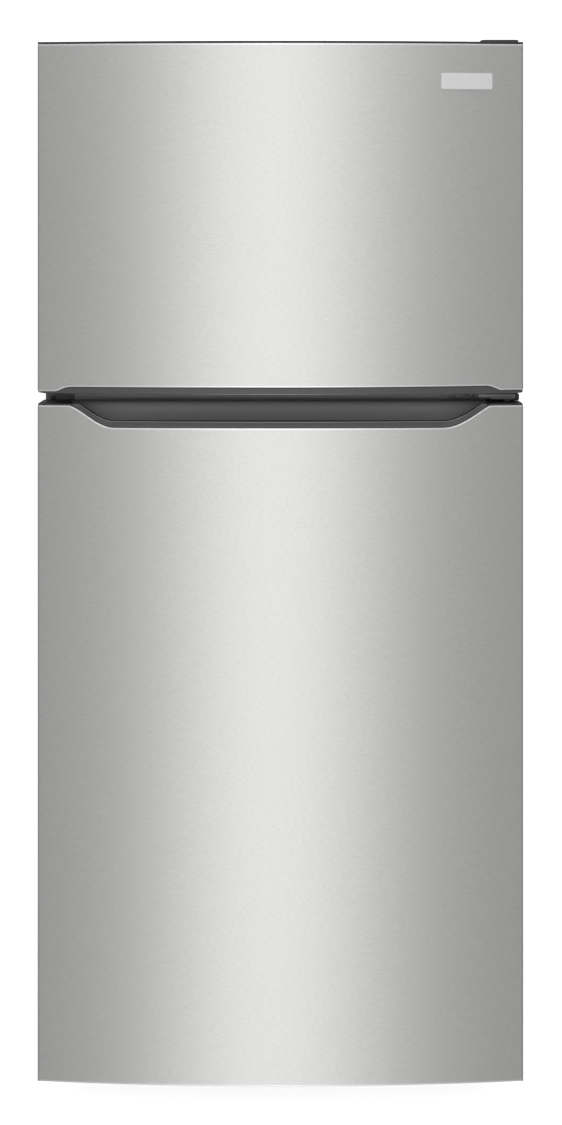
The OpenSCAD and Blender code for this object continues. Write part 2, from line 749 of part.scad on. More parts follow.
// hermetic shell: a welded pot with rounded ends
module compressor() color("black") {
  r = 74;
  end = 34;
  translate([comp_x, comp_y, comp_z]) {
    rotate_extrude($fn = 72) polygon(concat(
      [[0, 0]],
      [for (a = [-90:15:0]) [r - end + end * cos(a), end + end * sin(a)]],
      [for (a = [0:15:90]) [r - end + end * cos(a), comp_h - end + end * sin(a)]],
      [[0, comp_h]]
    ));
    translate([0, 0, comp_h / 2 - 3]) cylinder(h = 6, r = r + 4, $fn = 72);
    block([-25, -r - 16, 60], [25, -r + 8, 110]);
  }
  difference() {
    along_z(comp_z - 4, comp_z + eps) rrect([comp_x - 105, comp_y - 68], [comp_x + 105, comp_y + 68], 14);
    for (p = mount_points) translate([p[0], p[1], comp_z - 5]) cylinder(h = 6, r = 8);
  }
}

mount_points = [for (x = [-88, 88], y = [-50, 50]) [comp_x + x, comp_y + y]];

module compressor_mounts() color("dimgray") for (p = mount_points) translate([p[0], p[1], deck_z]) {
  cylinder(h = comp_z - 4 - deck_z, r = 13);
  cylinder(h = comp_z + 2 - deck_z, r = 7.9);
}

cond_x = [120, 330];
cond_y = [232, 350];

// wire-on-tube condenser folded into two layers
module condenser_coil() color("black") {
  rows = 5;
  pitch = 30;
  z0 = deck_z + 46;
  for (y = cond_y) {
    for (i = [0:rows - 1]) rod([cond_x[0], y, z0 + pitch * i], [cond_x[1], y, z0 + pitch * i], 2.4);
    for (i = [0:rows - 2]) {
      x = i % 2 == 0 ? cond_x[1] : cond_x[0];
      rod([x, y, z0 + pitch * i - 2], [x, y, z0 + pitch * (i + 1) + 2], 2.5);
    }
    for (x = [cond_x[0] + 10:12:cond_x[1] - 6]) block([x, y - 4, z0 - 8], [x + 1.8, y - 2.2, z0 + pitch * (rows - 1) + 8]);
  }
  z1 = z0 + pitch * (rows - 1);
  rod([cond_x[0], cond_y[0], z1], [cond_x[0], cond_y[1], z1], 2.6);
}

// fan frame between compressor and condenser, with the motor on two bars
module condenser_fan_motor() color("dimgray") translate([cond_fan_x, cond_fan_y, cond_fan_z]) {
  difference() {
    block([-2, -85, deck_z - cond_fan_z], [2, 85, 106]);
    rod([-3, 0, 0], [3, 0, 0], 76);
  }
  difference() {
    rod([-12, 0, 0], [12, 0, 0], 78);
    rod([-13, 0, 0], [13, 0, 0], 76);
  }
  for (a = [0, 90]) rotate([a, 0, 0]) block([14, -80, -4], [17, 80, 4]);
  for (a = [0:90:270]) rotate([a, 0, 0]) block([2 - eps, 76.5, -4], [17, 80, 4]);
  rod([16, 0, 0], [46, 0, 0], 24);
  rod([-10, 0, 0], [17, 0, 0], 2);
}

module condenser_fan_blade() color("black")
  translate([cond_fan_x - 9, cond_fan_y, cond_fan_z]) rotate([0, 0, -90]) fan_wheel(70, 18, 5);

module drain_pan() color("whitesmoke") tray([112, 214, deck_z], [356, 366, deck_z + 32], 2);

module refrigerant_tubes() color("peru") {
  top = comp_z + 92;
  // discharge line to the condenser, above the fan frame
  line_y = back_y - 5;
  tube_run([
    [comp_x + 65, comp_y + 42, top], [comp_x + 112, comp_y + 68, top], [comp_x + 112, line_y, 250],
    [132, line_y, 250], [132, cond_y[0] + 8, 250]
  ], 3);
  // drier and capillary on the front wall of the compartment
  rod([160, 216, 222], [240, 216, 222], 9);
  tube_run([[240, 216, 222], [300, 216, 222], [300, 216, 252]], 1.6);
  // suction line up to the evaporator
  tube_run([[comp_x - 70, comp_y + 40, top], [comp_x - 110, comp_y + 40, top], [comp_x - 110, comp_y + 40, 258]], 4);
}

module machine_cover() color("gray") difference() {
  union() {
    block([-cab_half + 14, back_y, deck_z + 2], [cab_half - 14, back_y + 1.2, machine_z - 2]);
    for (x = [-250, 60]) for (z = [90:16:220]) block([x, back_y + 1.2 - eps, z], [x + 190, rear_y, z + 3]);
  }
  for (x = [-250, 60]) for (z = [90:16:220]) block([x + 3, back_y - 1, z - 7], [x + 187, rear_y + 1, z - 1]);
  translate([-320, 0, 80]) rod([0, back_y - 1, 0], [0, rear_y + 1, 0], 8);
}

// bushing for the supply cord: flanges on both sides of the cover
module cord_gland() color("black") translate([-320, 0, 80]) difference() {
  union() {
    rod([0, back_y - 8, 0], [0, rear_y, 0], 7.9);
    rod([0, back_y - 8, 0], [0, back_y - 0.2, 0], 11);
  }
  rod([0, back_y - 9, 0], [0, rear_y + 1, 0], 4.5);
}

// ---- rollers and legs ----

module roller() difference() {
  rod([foot_x - 11, roller_y, roller_r], [foot_x + 11, roller_y, roller_r], roller_r);
  rod([foot_x - 12, roller_y, roller_r], [foot_x + 12, roller_y, roller_r], axle_r + fit);
}

module rear_roller_right() color("dimgray") roller();

module rear_roller_left() color("dimgray") mirror([1, 0, 0]) roller();

module leg() translate([foot_x, leg_y, 0]) {
  cylinder(h = 7, r = 16);
  translate([0, 0, 7 - eps]) cylinder(h = 5, r = 9, $fn = 6);
  translate([0, 0, 11]) cylinder(h = 27, r = leg_r);
}

module leveling_leg_right() color("dimgray") leg();

module leveling_leg_left() color("dimgray") mirror([1, 0, 0]) leg();

cabinet_shell();
back_panel();
cabinet_foam();
freezer_liner();
fridge_liner();
mullion_rail();
base_frame();
machine_deck();
top_hinge();
top_hinge_cover();
center_hinge();
bottom_hinge();
hinge_screws();
toe_grille();
evaporator();
evaporator_cover();
evaporator_fan_motor();
freezer_shelf();
control_box();
lamp_cover();
shelf_frames();
shelf_glass();
crisper_cover();
compressor();
compressor_mounts();
condenser_coil();
condenser_fan_motor();
drain_pan();
refrigerant_tubes();
machine_cover();
cord_gland();
evaporator_fan_blade();
condenser_fan_blade();
freezer_knob();
fridge_knob();
light_switch();
crisper_left();
crisper_right();
humidity_slider_left();
humidity_slider_right();
rear_roller_left();
rear_roller_right();
leveling_leg_left();
leveling_leg_right();
freezer_door_skin();
freezer_top_cap();
freezer_bottom_cap();
freezer_door_foam();
freezer_door_liner();
freezer_racks();
freezer_gasket();
badge();
fridge_door_skin();
fridge_top_cap();
fridge_bottom_cap();
fridge_door_foam();
fridge_door_liner();
fridge_gasket();
door_bins();
dairy_cover();
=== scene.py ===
"""The looks of a top freezer refrigerator: bowed brushed steel doors with a grip pocket between
them, a grey cabinet, and a white interior with glass shelves, clear drawers and bins."""

import json
import math

import bmesh
import bpy
from mathutils import Matrix, Vector

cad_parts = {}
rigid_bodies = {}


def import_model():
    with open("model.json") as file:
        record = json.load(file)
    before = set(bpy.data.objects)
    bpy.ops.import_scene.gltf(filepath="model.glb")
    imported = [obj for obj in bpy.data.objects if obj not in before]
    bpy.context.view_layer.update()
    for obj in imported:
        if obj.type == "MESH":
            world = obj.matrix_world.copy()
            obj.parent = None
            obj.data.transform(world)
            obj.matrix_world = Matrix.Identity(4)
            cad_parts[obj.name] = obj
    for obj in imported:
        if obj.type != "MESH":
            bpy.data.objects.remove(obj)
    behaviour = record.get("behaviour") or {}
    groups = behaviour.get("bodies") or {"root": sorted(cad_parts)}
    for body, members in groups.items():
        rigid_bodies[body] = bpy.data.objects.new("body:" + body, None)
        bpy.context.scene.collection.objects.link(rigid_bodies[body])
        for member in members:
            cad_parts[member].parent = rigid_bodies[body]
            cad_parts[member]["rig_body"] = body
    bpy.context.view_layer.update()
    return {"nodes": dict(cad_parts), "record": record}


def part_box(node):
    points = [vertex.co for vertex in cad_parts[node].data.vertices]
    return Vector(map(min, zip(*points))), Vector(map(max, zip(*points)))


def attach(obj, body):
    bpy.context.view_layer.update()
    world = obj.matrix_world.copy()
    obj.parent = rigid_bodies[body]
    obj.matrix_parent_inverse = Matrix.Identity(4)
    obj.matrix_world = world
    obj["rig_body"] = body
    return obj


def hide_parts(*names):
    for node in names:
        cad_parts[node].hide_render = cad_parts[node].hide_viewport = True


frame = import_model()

# ---- sizes, in metres ----

door_lo, door_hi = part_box("fridge_door_skin")
freezer_lo, freezer_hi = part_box("freezer_door_skin")
shell_lo, shell_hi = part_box("cabinet_shell")

DOOR_HALF = door_hi.x
DOOR_BOW = 0.016
FRONT_Y = door_lo.y
EDGE_Y = FRONT_Y + DOOR_BOW
DOOR_BACK = door_hi.y
SHEET = 0.001
CORNER_R = 0.0034
CAP_INSET = 0.0005
CAP_END_H = 0.0065

# scoops in the steel: start and end, measured from the side edge of a door, and sharpness of the bend
GRIP_DROP = 0.0345
GRIP_LEFT = (0.049, 0.122, 1.5)
GRIP_RIGHT = (0.053, 0.128, 1.15)
LIP_RISE = 0.0073
LIP_LEFT = (0.029, 0.053, 1.2)
LIP_RIGHT = (0.038, 0.060, 0.9)
LIP_START = 0.0006
LIP_TILT = 0.0026
LIP_CORNER = 0.011
HEM_R = 0.0011
HEM_BAND = 0.0016
POCKET_BACK = -0.332
POCKET_DEPTH = 0.066
POCKET_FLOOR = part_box("fridge_top_cap")[1].z - POCKET_DEPTH
TROUGH_FRONT = -0.362
PULL_HALF = 0.290
PULL_H = 0.026
COLUMN_STEP = 0.003
STEEL_TOP = freezer_hi.z - 0.001
STEEL_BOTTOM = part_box("fridge_bottom_cap")[0].z - 0.0003

CAMERA_DISTANCE = 2.4
CAMERA_HEIGHT = 1.362
CAMERA_LENS = 48.77
CAMERA_SHIFT = (0.0005, -0.2866)


# ---- camera, light and floor ----

def make_camera():
    data = bpy.data.cameras.new("camera")
    data.sensor_width = 36
    data.lens = CAMERA_LENS
    data.shift_x, data.shift_y = CAMERA_SHIFT
    camera = bpy.data.objects.new("camera", data)
    camera.location = (0, EDGE_Y - CAMERA_DISTANCE, CAMERA_HEIGHT)
    camera.rotation_euler = (math.radians(90), 0, 0)
    bpy.context.scene.collection.objects.link(camera)
    bpy.context.scene.camera = camera


def area_light(name, place, target, size, power):
    data = bpy.data.lights.new(name, "AREA")
    data.shape = "RECTANGLE"
    data.size, data.size_y = size
    data.energy = power
    light = bpy.data.objects.new(name, data)
    light.location = place
    direction = Vector(target) - Vector(place)
    light.rotation_euler = direction.to_track_quat("-Z", "Y").to_euler()
    bpy.context.scene.collection.objects.link(light)


def make_world(seen, lit):
    """A white backdrop for the camera, and a softer white for everything that it lights."""
    world = bpy.data.worlds.new("studio")
    bpy.context.scene.world = world
    world.use_nodes = True
    nodes, links = world.node_tree.nodes, world.node_tree.links
    nodes.clear()
    path = nodes.new("ShaderNodeLightPath")
    room = nodes.new("ShaderNodeBackground")
    room.inputs["Color"].default_value = (1, 1, 1, 1)
    room.inputs["Strength"].default_value = lit
    backdrop = nodes.new("ShaderNodeBackground")
    backdrop.inputs["Color"].default_value = (1, 1, 1, 1)
    backdrop.inputs["Strength"].default_value = seen
    mix = nodes.new("ShaderNodeMixShader")
    out = nodes.new("ShaderNodeOutputWorld")
    links.new(path.outputs["Is Camera Ray"], mix.inputs[0])
    links.new(room.outputs[0], mix.inputs[1])
    links.new(backdrop.outputs[0], mix.inputs[2])
    links.new(mix.outputs[0], out.inputs[0])


def math_node(nodes, links, operation, *values):
    """A math node; each value is a number or another node's output."""
    node = nodes.new("ShaderNodeMath")
    node.operation = operation
    for socket, value in zip(node.inputs, values):
        if isinstance(value, (int, float)):
            socket.default_value = value
        else:
            links.new(value, socket)
    return node.outputs[0]


def make_floor():
    """White floor that glows softly, with a painted shadow where the glow fades out under the appliance."""
    mesh = bpy.data.meshes.new("floor")
    reach = 14
    corners = [(-reach, -reach, 0), (reach, -reach, 0), (reach, reach, 0), (-reach, reach, 0)]
    mesh.from_pydata(corners, [], [(0, 1, 2, 3)])
    floor = bpy.data.objects.new("floor", mesh)
    bpy.context.scene.collection.objects.link(floor)
    material = bpy.data.materials.new("floor")
    material.use_nodes = True
    shader = material.node_tree.nodes["Principled BSDF"]
    shader.inputs["Base Color"].default_value = (0.93, 0.93, 0.93, 1)
    shader.inputs["Roughness"].default_value = 0.9
    shader.inputs["Emission Color"].default_value = (1, 1, 1, 1)
    nodes, links = material.node_tree.nodes, material.node_tree.links
    coordinates = nodes.new("ShaderNodeTexCoord")
    split = nodes.new("ShaderNodeSeparateXYZ")
    links.new(coordinates.outputs["Object"], split.inputs[0])
    # painted shadow: a soft rectangle under the appliance where the floor's glow drops away
    spans = []
    for axis, centre, half in (("X", 0.0, 0.35), ("Y", 0.05, 0.29)):
        offset = math_node(nodes, links, "SUBTRACT", split.outputs[axis], centre)
        distance = math_node(nodes, links, "ABSOLUTE", offset)
        spans.append(math_node(nodes, links, "DIVIDE", distance, half))
    furthest = math_node(nodes, links, "MAXIMUM", *spans)
    glow_with_painted_shadow = nodes.new("ShaderNodeMapRange")
    glow_with_painted_shadow.interpolation_type = "SMOOTHSTEP"
    for socket, value in (("From Min", 0.85), ("From Max", 1.08), ("To Min", 0.03), ("To Max", 0.85)):
        glow_with_painted_shadow.inputs[socket].default_value = value
    links.new(furthest, glow_with_painted_shadow.inputs["Value"])
    links.new(glow_with_painted_shadow.outputs["Result"], shader.inputs["Emission Strength"])
    mesh.materials.append(material)
    floor.visible_glossy = False
    floor.visible_shadow = False


make_camera()
make_world(seen=1.3, lit=0.385)
make_floor()
area_light("key", (-0.06, -4.2, -0.4), (0, 0, -0.4), (1.0, 11.0), 58.5)
area_light("top", (0, -0.6, 4.2), (0, 0, 0.8), (3.0, 3.0), 30)
bpy.context.scene.view_settings.view_transform = "Standard"


# ---- materials ----

def new_material(name):
    material = bpy.data.materials.new(name)
    material.use_nodes = True
    return material, material.node_tree.nodes, material.node_tree.links


def texture_space(nodes, links, scale):
    """Object coordinates, in metres, stretched by scale."""
    coordinates = nodes.new("ShaderNodeTexCoord")
    mapping = nodes.new("ShaderNodeMapping")
    mapping.inputs["Scale"].default_value = scale
    links.new(coordinates.outputs["Object"], mapping.inputs["Vector"])
    return mapping.outputs["Vector"]


def noise(nodes, links, scale, detail=2.0, rough=0.5):
    texture = nodes.new("ShaderNodeTexNoise")
    texture.inputs["Scale"].default_value = 1
    texture.inputs["Detail"].default_value = detail
    texture.inputs["Roughness"].default_value = rough
    links.new(texture_space(nodes, links, scale), texture.inputs["Vector"])
    return texture.outputs["Fac"]


def ramp(nodes, links, source, low, high):
    """Maps 0..1 onto low..high, as colours or as numbers."""
    if isinstance(low, tuple):
        mix = nodes.new("ShaderNodeMix")
        mix.data_type = "RGBA"
        mix.inputs["A"].default_value = (*low, 1)
        mix.inputs["B"].default_value = (*high, 1)
        links.new(source, mix.inputs["Factor"])
        return mix.outputs["Result"]
    span = nodes.new("ShaderNodeMapRange")
    span.inputs["To Min"].default_value = low
    span.inputs["To Max"].default_value = high
    links.new(source, span.inputs["Value"])
    return span.outputs["Result"]


def add_bump(nodes, links, shader, source, depth, strength=1.0):
    bump = nodes.new("ShaderNodeBump")
    bump.inputs["Strength"].default_value = strength
    bump.inputs["Distance"].default_value = depth
    links.new(source, bump.inputs["Height"])
    links.new(bump.outputs["Normal"], shader.inputs["Normal"])


def shade(colour, factor):
    return tuple(min(1.0, c * factor) for c in colour)


def textured(name, colour, rough, grain, depth, metallic=0.0, spread=0.06, coat=0.0, streak=(1, 1, 1)):
    """A surface with a fine grain (grain is bumps per metre), faint colour drift and uneven gloss."""
    material, nodes, links = new_material(name)
    shader = nodes["Principled BSDF"]
    shader.inputs["Metallic"].default_value = metallic
    shader.inputs["Coat Weight"].default_value = coat
    shader.inputs["Coat Roughness"].default_value = 0.15
    fine = noise(nodes, links, tuple(grain * s for s in streak), detail=3.0)
    broad = noise(nodes, links, (7, 7, 7), detail=3.0)
    tint = ramp(nodes, links, broad, shade(colour, 1 - spread), shade(colour, 1 + spread))
    links.new(tint, shader.inputs["Base Color"])
    links.new(ramp(nodes, links, fine, rough * 0.85, min(1, rough * 1.15)), shader.inputs["Roughness"])
    add_bump(nodes, links, shader, fine, depth)
    return material


def brushed_steel(name, dark, light):
    """Stainless sheet with fine brushing along X."""
    material, nodes, links = new_material(name)
    shader = nodes["Principled BSDF"]
    shader.inputs["Metallic"].default_value = 1.0
    shader.inputs["Anisotropic"].default_value = 0.75
    shader.inputs["Anisotropic Rotation"].default_value = 0.25
    hairline = noise(nodes, links, (14, 14, 2600), detail=2.0, rough=0.6)
    grain = noise(nodes, links, (150, 150, 700), detail=3.0, rough=0.75)
    tint = ramp(nodes, links, grain, shade(STEEL_TONE, dark), shade(STEEL_TONE, light))
    links.new(tint, shader.inputs["Base Color"])
    links.new(ramp(nodes, links, hairline, 0.42, 0.47), shader.inputs["Roughness"])
    add_bump(nodes, links, shader, hairline, 0.00002, 0.3)
    return material


def clear(name, colour, alpha, rough):
    """Thin clear moulding: mostly see-through, with a clean gloss."""
    material, nodes, links = new_material(name)
    shader = nodes["Principled BSDF"]
    drift = noise(nodes, links, (20, 20, 20), detail=2.0)
    links.new(ramp(nodes, links, drift, shade(colour, 0.97), colour), shader.inputs["Base Color"])
    links.new(ramp(nodes, links, drift, alpha * 0.9, alpha * 1.1), shader.inputs["Alpha"])
    links.new(ramp(nodes, links, drift, rough, rough + 0.05), shader.inputs["Roughness"])
    return material


STEEL_TONE = (0.68, 0.676, 0.668)
STEEL = brushed_steel("brushed_steel", 0.82, 1.18)
# lighter copy of the steel for the doors' hemmed edges: a painted highlight
STEEL_PAINTED_HIGHLIGHT = brushed_steel("brushed_steel_painted_highlight", 1.25, 1.45)
CABINET = textured("cabinet_paint", (0.13, 0.13, 0.135), 0.48, 420, 0.00025, spread=0.03)
ZINC = textured("galvanised_steel", (0.50, 0.52, 0.53), 0.42, 60, 0.00005, metallic=0.85, spread=0.14)
DARK = textured("dark_plastic", (0.085, 0.082, 0.084), 0.40, 1500, 0.00004, spread=0.05)
# the pocket is moulded with the lips; this lighter copy of their plastic paints light into the shaded
# recess
POCKET_PAINTED_LIGHT = textured("pocket_plastic_painted_light", (0.245, 0.237, 0.240), 0.50, 1500, 0.00003, spread=0.03)
LINER = textured("liner_plastic", (0.86, 0.86, 0.85), 0.28, 260, 0.00004, spread=0.01, coat=0.25)
WHITE = textured("white_plastic", (0.82, 0.82, 0.81), 0.40, 900, 0.00004, spread=0.02)
LENS = textured("frosted_lens", (0.93, 0.93, 0.90), 0.50, 700, 0.0001, spread=0.01)
FOAM = textured("foam", (0.80, 0.68, 0.40), 0.90, 300, 0.0005)
GASKET = textured("gasket_rubber", (0.42, 0.42, 0.42), 0.62, 800, 0.00005, spread=0.05)
RUBBER = textured("black_rubber", (0.03, 0.03, 0.03), 0.75, 600, 0.0001)
HINGE = textured("hinge_steel", (0.20, 0.20, 0.202), 0.42, 900, 0.00003, metallic=0.4)
SCREW = textured("zinc_screws", (0.62, 0.62, 0.60), 0.30, 900, 0.00003, metallic=1.0)
ALUMINIUM = textured(
    "mill_aluminium", (0.72, 0.74, 0.76), 0.35, 500, 0.00004, metallic=1.0, streak=(0.1, 1, 1)
)
ENAMEL = textured("black_enamel", (0.018, 0.018, 0.019), 0.30, 200, 0.0001, coat=0.3)
COPPER = textured("copper_tube", (0.72, 0.36, 0.24), 0.32, 300, 0.00004, metallic=1.0, spread=0.15)
BADGE = textured("badge_metal", (0.66, 0.66, 0.66), 0.46, 1200, 0.00002, metallic=0.35, spread=0.03)
LIP = textured("lip_plastic", (0.112, 0.110, 0.110), 0.43, 1500, 0.00002, metallic=0.85, spread=0.03)
# lighter, glossier copy of the lip plastic for the lips' rounded edges: a painted highlight
LIP_HIGHLIGHT_TONE = (0.19, 0.187, 0.187)
LIP_PAINTED_HIGHLIGHT = textured("lip_plastic_painted_highlight", LIP_HIGHLIGHT_TONE, 0.20, 1500, 0.00001, metallic=1.0, spread=0.03)
CAP = textured("cap_plastic", (0.030, 0.029, 0.030), 0.45, 1500, 0.00004, spread=0.05)
RAIL = textured("rail_paint", (0.45, 0.45, 0.455), 0.50, 420, 0.0002, spread=0.03)
WIRE = textured("white_wire", (0.84, 0.84, 0.83), 0.34, 700, 0.00006, coat=0.3)
CLEAR = clear("clear_plastic", (0.86, 0.90, 0.915), 0.20, 0.06)
GLASS = clear("shelf_glass", (0.72, 0.84, 0.80), 0.22, 0.03)


# ---- shapes ----

def rounded_rect(lo, hi, r, steps=6):
    """Points of a rounded rectangle, anticlockwise."""
    left, right, low, high = lo[0] + r, hi[0] - r, lo[1] + r, hi[1] - r
    corners = [(right, high), (left, high), (left, low), (right, low)]
    points = []
    for k, (cx, cy) in enumerate(corners):
        for i in range(steps + 1):
            a = math.radians(90 * k + 90 * i / steps)
            points.append((cx + r * math.cos(a), cy + r * math.sin(a)))
    return points


def spaced(a, b, step):
    """Evenly spaced values from a to b, no further apart than step."""
    n = max(1, math.ceil(abs(b - a) / step))
    return [a + (b - a) * i / n for i in range(n + 1)]


class Shape:
    """Collects closed solids into one mesh."""

    def __init__(self):
        self.bm = bmesh.new()

    def loft(self, loops):
        """Skins a stack of loops that have the same number of points, and closes both ends."""
        rings = [[self.bm.verts.new(p) for p in loop] for loop in loops]
        n = len(rings[0])
        for a, b in zip(rings, rings[1:]):
            for i in range(n):
                self.bm.faces.new((a[i], a[(i + 1) % n], b[(i + 1) % n], b[i]))
        self.bm.faces.new(rings[0][::-1])
        self.bm.faces.new(rings[-1])
        return self

    def ring(self, loops):
        """Skins loops that run round and meet again, such as a gasket's sections."""
        rings = [[self.bm.verts.new(p) for p in loop] for loop in loops]
        n = len(rings[0])
        for k, a in enumerate(rings):
            b = rings[(k + 1) % len(rings)]
            for i in range(n):
                self.bm.faces.new((a[i], a[(i + 1) % n], b[(i + 1) % n], b[i]))
        return self

    def soften(self, edges, width, segments):
        if width:
            bmesh.ops.bevel(
                self.bm, geom=edges, offset=width, segments=segments, profile=0.5,
                affect="EDGES", clamp_overlap=True,
            )

    def box(self, lo, hi, bevel=0.0, segments=2):
        size = Vector(hi) - Vector(lo)
        place = Matrix.Translation((Vector(lo) + Vector(hi)) / 2) @ Matrix.Diagonal((*size, 1))
        made = bmesh.ops.create_cube(self.bm, size=1, matrix=place)
        edges = list({e for v in made["verts"] for e in v.link_edges})
        self.soften(edges, bevel, segments)
        return self

    def prism(self, outline, lo, hi, axis="z", bevel=0.0, segments=2):
        """Extrudes an outline along an axis. The outline holds the other two coordinates in order."""
        def place(p, h):
            return {"x": (h, p[0], p[1]), "y": (p[0], h, p[1]), "z": (p[0], p[1], h)}[axis]

        before = set(self.bm.edges)
        self.loft([[place(p, lo) for p in outline], [place(p, hi) for p in outline]])
        if bevel:
            ends = [e for e in self.bm.edges if e not in before and abs(self.along(e, axis)) < 1e-9]
            self.soften(ends, bevel, segments)
        return self

    @staticmethod
    def along(edge, axis):
        i = "xyz".index(axis)
        return edge.verts[0].co[i] - edge.verts[1].co[i]

    def rod(self, a, b, r, sides=16):
        a, b = Vector(a), Vector(b)
        place = Matrix.Translation((a + b) / 2) @ (b - a).to_track_quat("Z", "Y").to_matrix().to_4x4()
        bmesh.ops.create_cone(
            self.bm, cap_ends=True, segments=sides, radius1=r, radius2=r, depth=(b - a).length, matrix=place
        )
        return self

    def cad(self, node, bevel=0.0, segments=2, angle=30):
        """Takes over a CAD node's own shape and eases its edges."""
        before = set(self.bm.verts)
        self.bm.from_mesh(frame["nodes"][node].data)
        new = [v for v in self.bm.verts if v not in before]
        bmesh.ops.remove_doubles(self.bm, verts=new, dist=0.00001)
        new = [v for v in self.bm.verts if v not in before]
        edges = list({e for v in new for e in v.link_edges})
        bmesh.ops.dissolve_limit(self.bm, angle_limit=math.radians(1), verts=new, edges=edges)
        new = [v for v in self.bm.verts if v not in before]
        sharp = [
            e for e in {e for v in new for e in v.link_edges}
            if len(e.link_faces) == 2 and e.calc_face_angle(0) > math.radians(angle)
        ]
        self.soften(sharp, bevel, segments)
        return self

    def done(self, name, body, material, slot, replaces=(), smooth=35):
        bmesh.ops.recalc_face_normals(self.bm, faces=self.bm.faces[:])
        for face in self.bm.faces:
            face.smooth = True
        for edge in self.bm.edges:
            edge.smooth = len(edge.link_faces) == 2 and edge.calc_face_angle(0) < math.radians(smooth)
        mesh = bpy.data.meshes.new(name)
        self.bm.to_mesh(mesh)
        self.bm.free()
        mesh.materials.append(material)
        piece = bpy.data.objects.new(name, mesh)
        bpy.context.scene.collection.objects.link(piece)
        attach(piece, body)
        if replaces:
            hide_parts(*replaces)
        return piece


# ---- doors ----

def bow_y(x):
    return FRONT_Y + DOOR_BOW * (x / DOOR_HALF) ** 2


def scoop(x, left, right):
    """Share of a scoop's full depth at x."""
    start, end, bend = left if x < 0 else right
    share = (DOOR_HALF - abs(x) - start) / (end - start)
    return math.sin(math.pi / 2 * min(1.0, max(0.0, share))) ** bend


def grip_edge(x):
    """Top edge of the refrigerator door's steel."""
    return door_hi.z - GRIP_DROP * scoop(x, GRIP_LEFT, GRIP_RIGHT)


def lip_edge(x):
    """Bottom edge of the freezer door's steel."""
    tilt = LIP_TILT * (max(0.0, x) / DOOR_HALF) ** 2
    return freezer_lo.z + LIP_START + tilt + LIP_RISE * scoop(x, LIP_LEFT, LIP_RIGHT)


def door_outline():
    """Plan of a door's steel from one rear edge round the front to the other."""
    side = DOOR_HALF - CORNER_R
    front = spaced(-side, side, COLUMN_STEP)
    corner_y = bow_y(side) + CORNER_R
    steps = 6
    turn = [math.radians(180 + 90 * i / steps) for i in range(steps)]
    left = [(-side + CORNER_R * math.cos(a), corner_y + CORNER_R * math.sin(a)) for a in turn]
    rear = [(-DOOR_HALF, y) for y in spaced(DOOR_BACK, corner_y + 0.004, 0.02)]
    half = rear + left
    return half + [(x, bow_y(x)) for x in front] + [(-x, y) for x, y in reversed(half)]


def door_skin(name, node, body, bottom, top):
    """Bowed sheet steel with folded sides and hemmed ends. bottom and top give its edges at each x."""
    shape = Shape()
    hem = [math.radians(a) for a in (0, 30, 60, 90)]
    columns = []
    for x, y in door_outline():
        on_front = y < EDGE_Y + CORNER_R
        ends = x if on_front else math.copysign(DOOR_HALF, x)
        lo, hi = bottom(ends), top(ends)
        fold = HEM_R if on_front and abs(x) < DOOR_HALF - CORNER_R else 0.0
        low = [(x, y + fold * (1 - math.sin(a)), lo + HEM_R * (1 - math.cos(a))) for a in hem]
        low += [(x, y, lo + HEM_R + HEM_BAND), (x, y, lo + HEM_R + 2 * HEM_BAND)]
        high = [(x, py, hi + lo - z) for _, py, z in reversed(low)]
        columns.append([shape.bm.verts.new(p) for p in low + high])
    last = len(columns[0]) - 2
    for a, b in zip(columns, columns[1:]):
        for i in range(last + 1):
            face = shape.bm.faces.new((a[i], b[i], b[i + 1], a[i + 1]))
            # the hem rows and the band next to them take the lighter steel: a painted highlight along the
            # edges
            face.material_index = int(i < len(hem) or i > last - len(hem))
    skin = shape.done(name, body, STEEL, "brushed_steel_skin", [node], smooth=50)
    skin.data.materials.append(STEEL_PAINTED_HIGHLIGHT)
    solid = skin.modifiers.new("sheet", "SOLIDIFY")
    solid.thickness = SHEET * 0.9
    solid.offset = -1


door_skin("freezer_door_steel", "freezer_door_skin", "freezer_door", lip_edge, lambda x: STEEL_TOP)
door_skin("fridge_door_steel", "fridge_door_skin", "fridge_door", lambda x: STEEL_BOTTOM, grip_edge)


def cap_plan(inset, back=None):
    """Plan outline of a door's end cap."""
    w = DOOR_HALF - inset
    front = [(x, bow_y(x) + inset) for x in spaced(-w + 0.004, w - 0.004, 0.012)]
    back = DOOR_BACK if back is None else back
    return [(-w, back), (-w, EDGE_Y + 0.006)] + front + [(w, EDGE_Y + 0.006), (w, back)]


def paint_highlight_strips(piece, strips, material, chosen):
    """Gives the chosen strips of a lofted piece, out of all its strips, a second material: a painted
    highlight.
    """
    piece.data.materials.append(material)
    for face in piece.data.polygons:
        if face.index % strips in chosen:
            face.material_index = 1


def grip_lip():
    """Bevelled lip along the scooped edge of the refrigerator door's steel."""
    _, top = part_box("fridge_top_cap")
    loops = []
    for x in spaced(-(DOOR_HALF - GRIP_LEFT[0]), DOOR_HALF - GRIP_RIGHT[0], COLUMN_STEP):
        z, y = grip_edge(x), bow_y(x)
        section = [
            (y + 0.0022, POCKET_FLOOR), (y + 0.0022, z + 0.0002), (y + 0.0006, z + 0.0008),
            (y + 0.0006, z + 0.0022), (y + 0.0010, z + 0.0026), (y + 0.0034, z + 0.0086),
            (y + 0.0038, z + 0.0094), (y + 0.0046, z + 0.0101), (y + 0.0056, z + 0.0104),
            (TROUGH_FRONT - 0.001, z + 0.0100), (TROUGH_FRONT, z + 0.0088), (TROUGH_FRONT, POCKET_FLOOR),
        ]
        loops.append([(x, sy, min(sz, top.z - 0.0002)) for sy, sz in section])
    lip = Shape().loft(loops).done("grip_lip", "fridge_door", LIP, "dark_plastic")
    # strips along the rounded top edge of the lip get a painted highlight
    paint_highlight_strips(lip, len(loops[0]), LIP_PAINTED_HIGHLIGHT, range(5, 8))


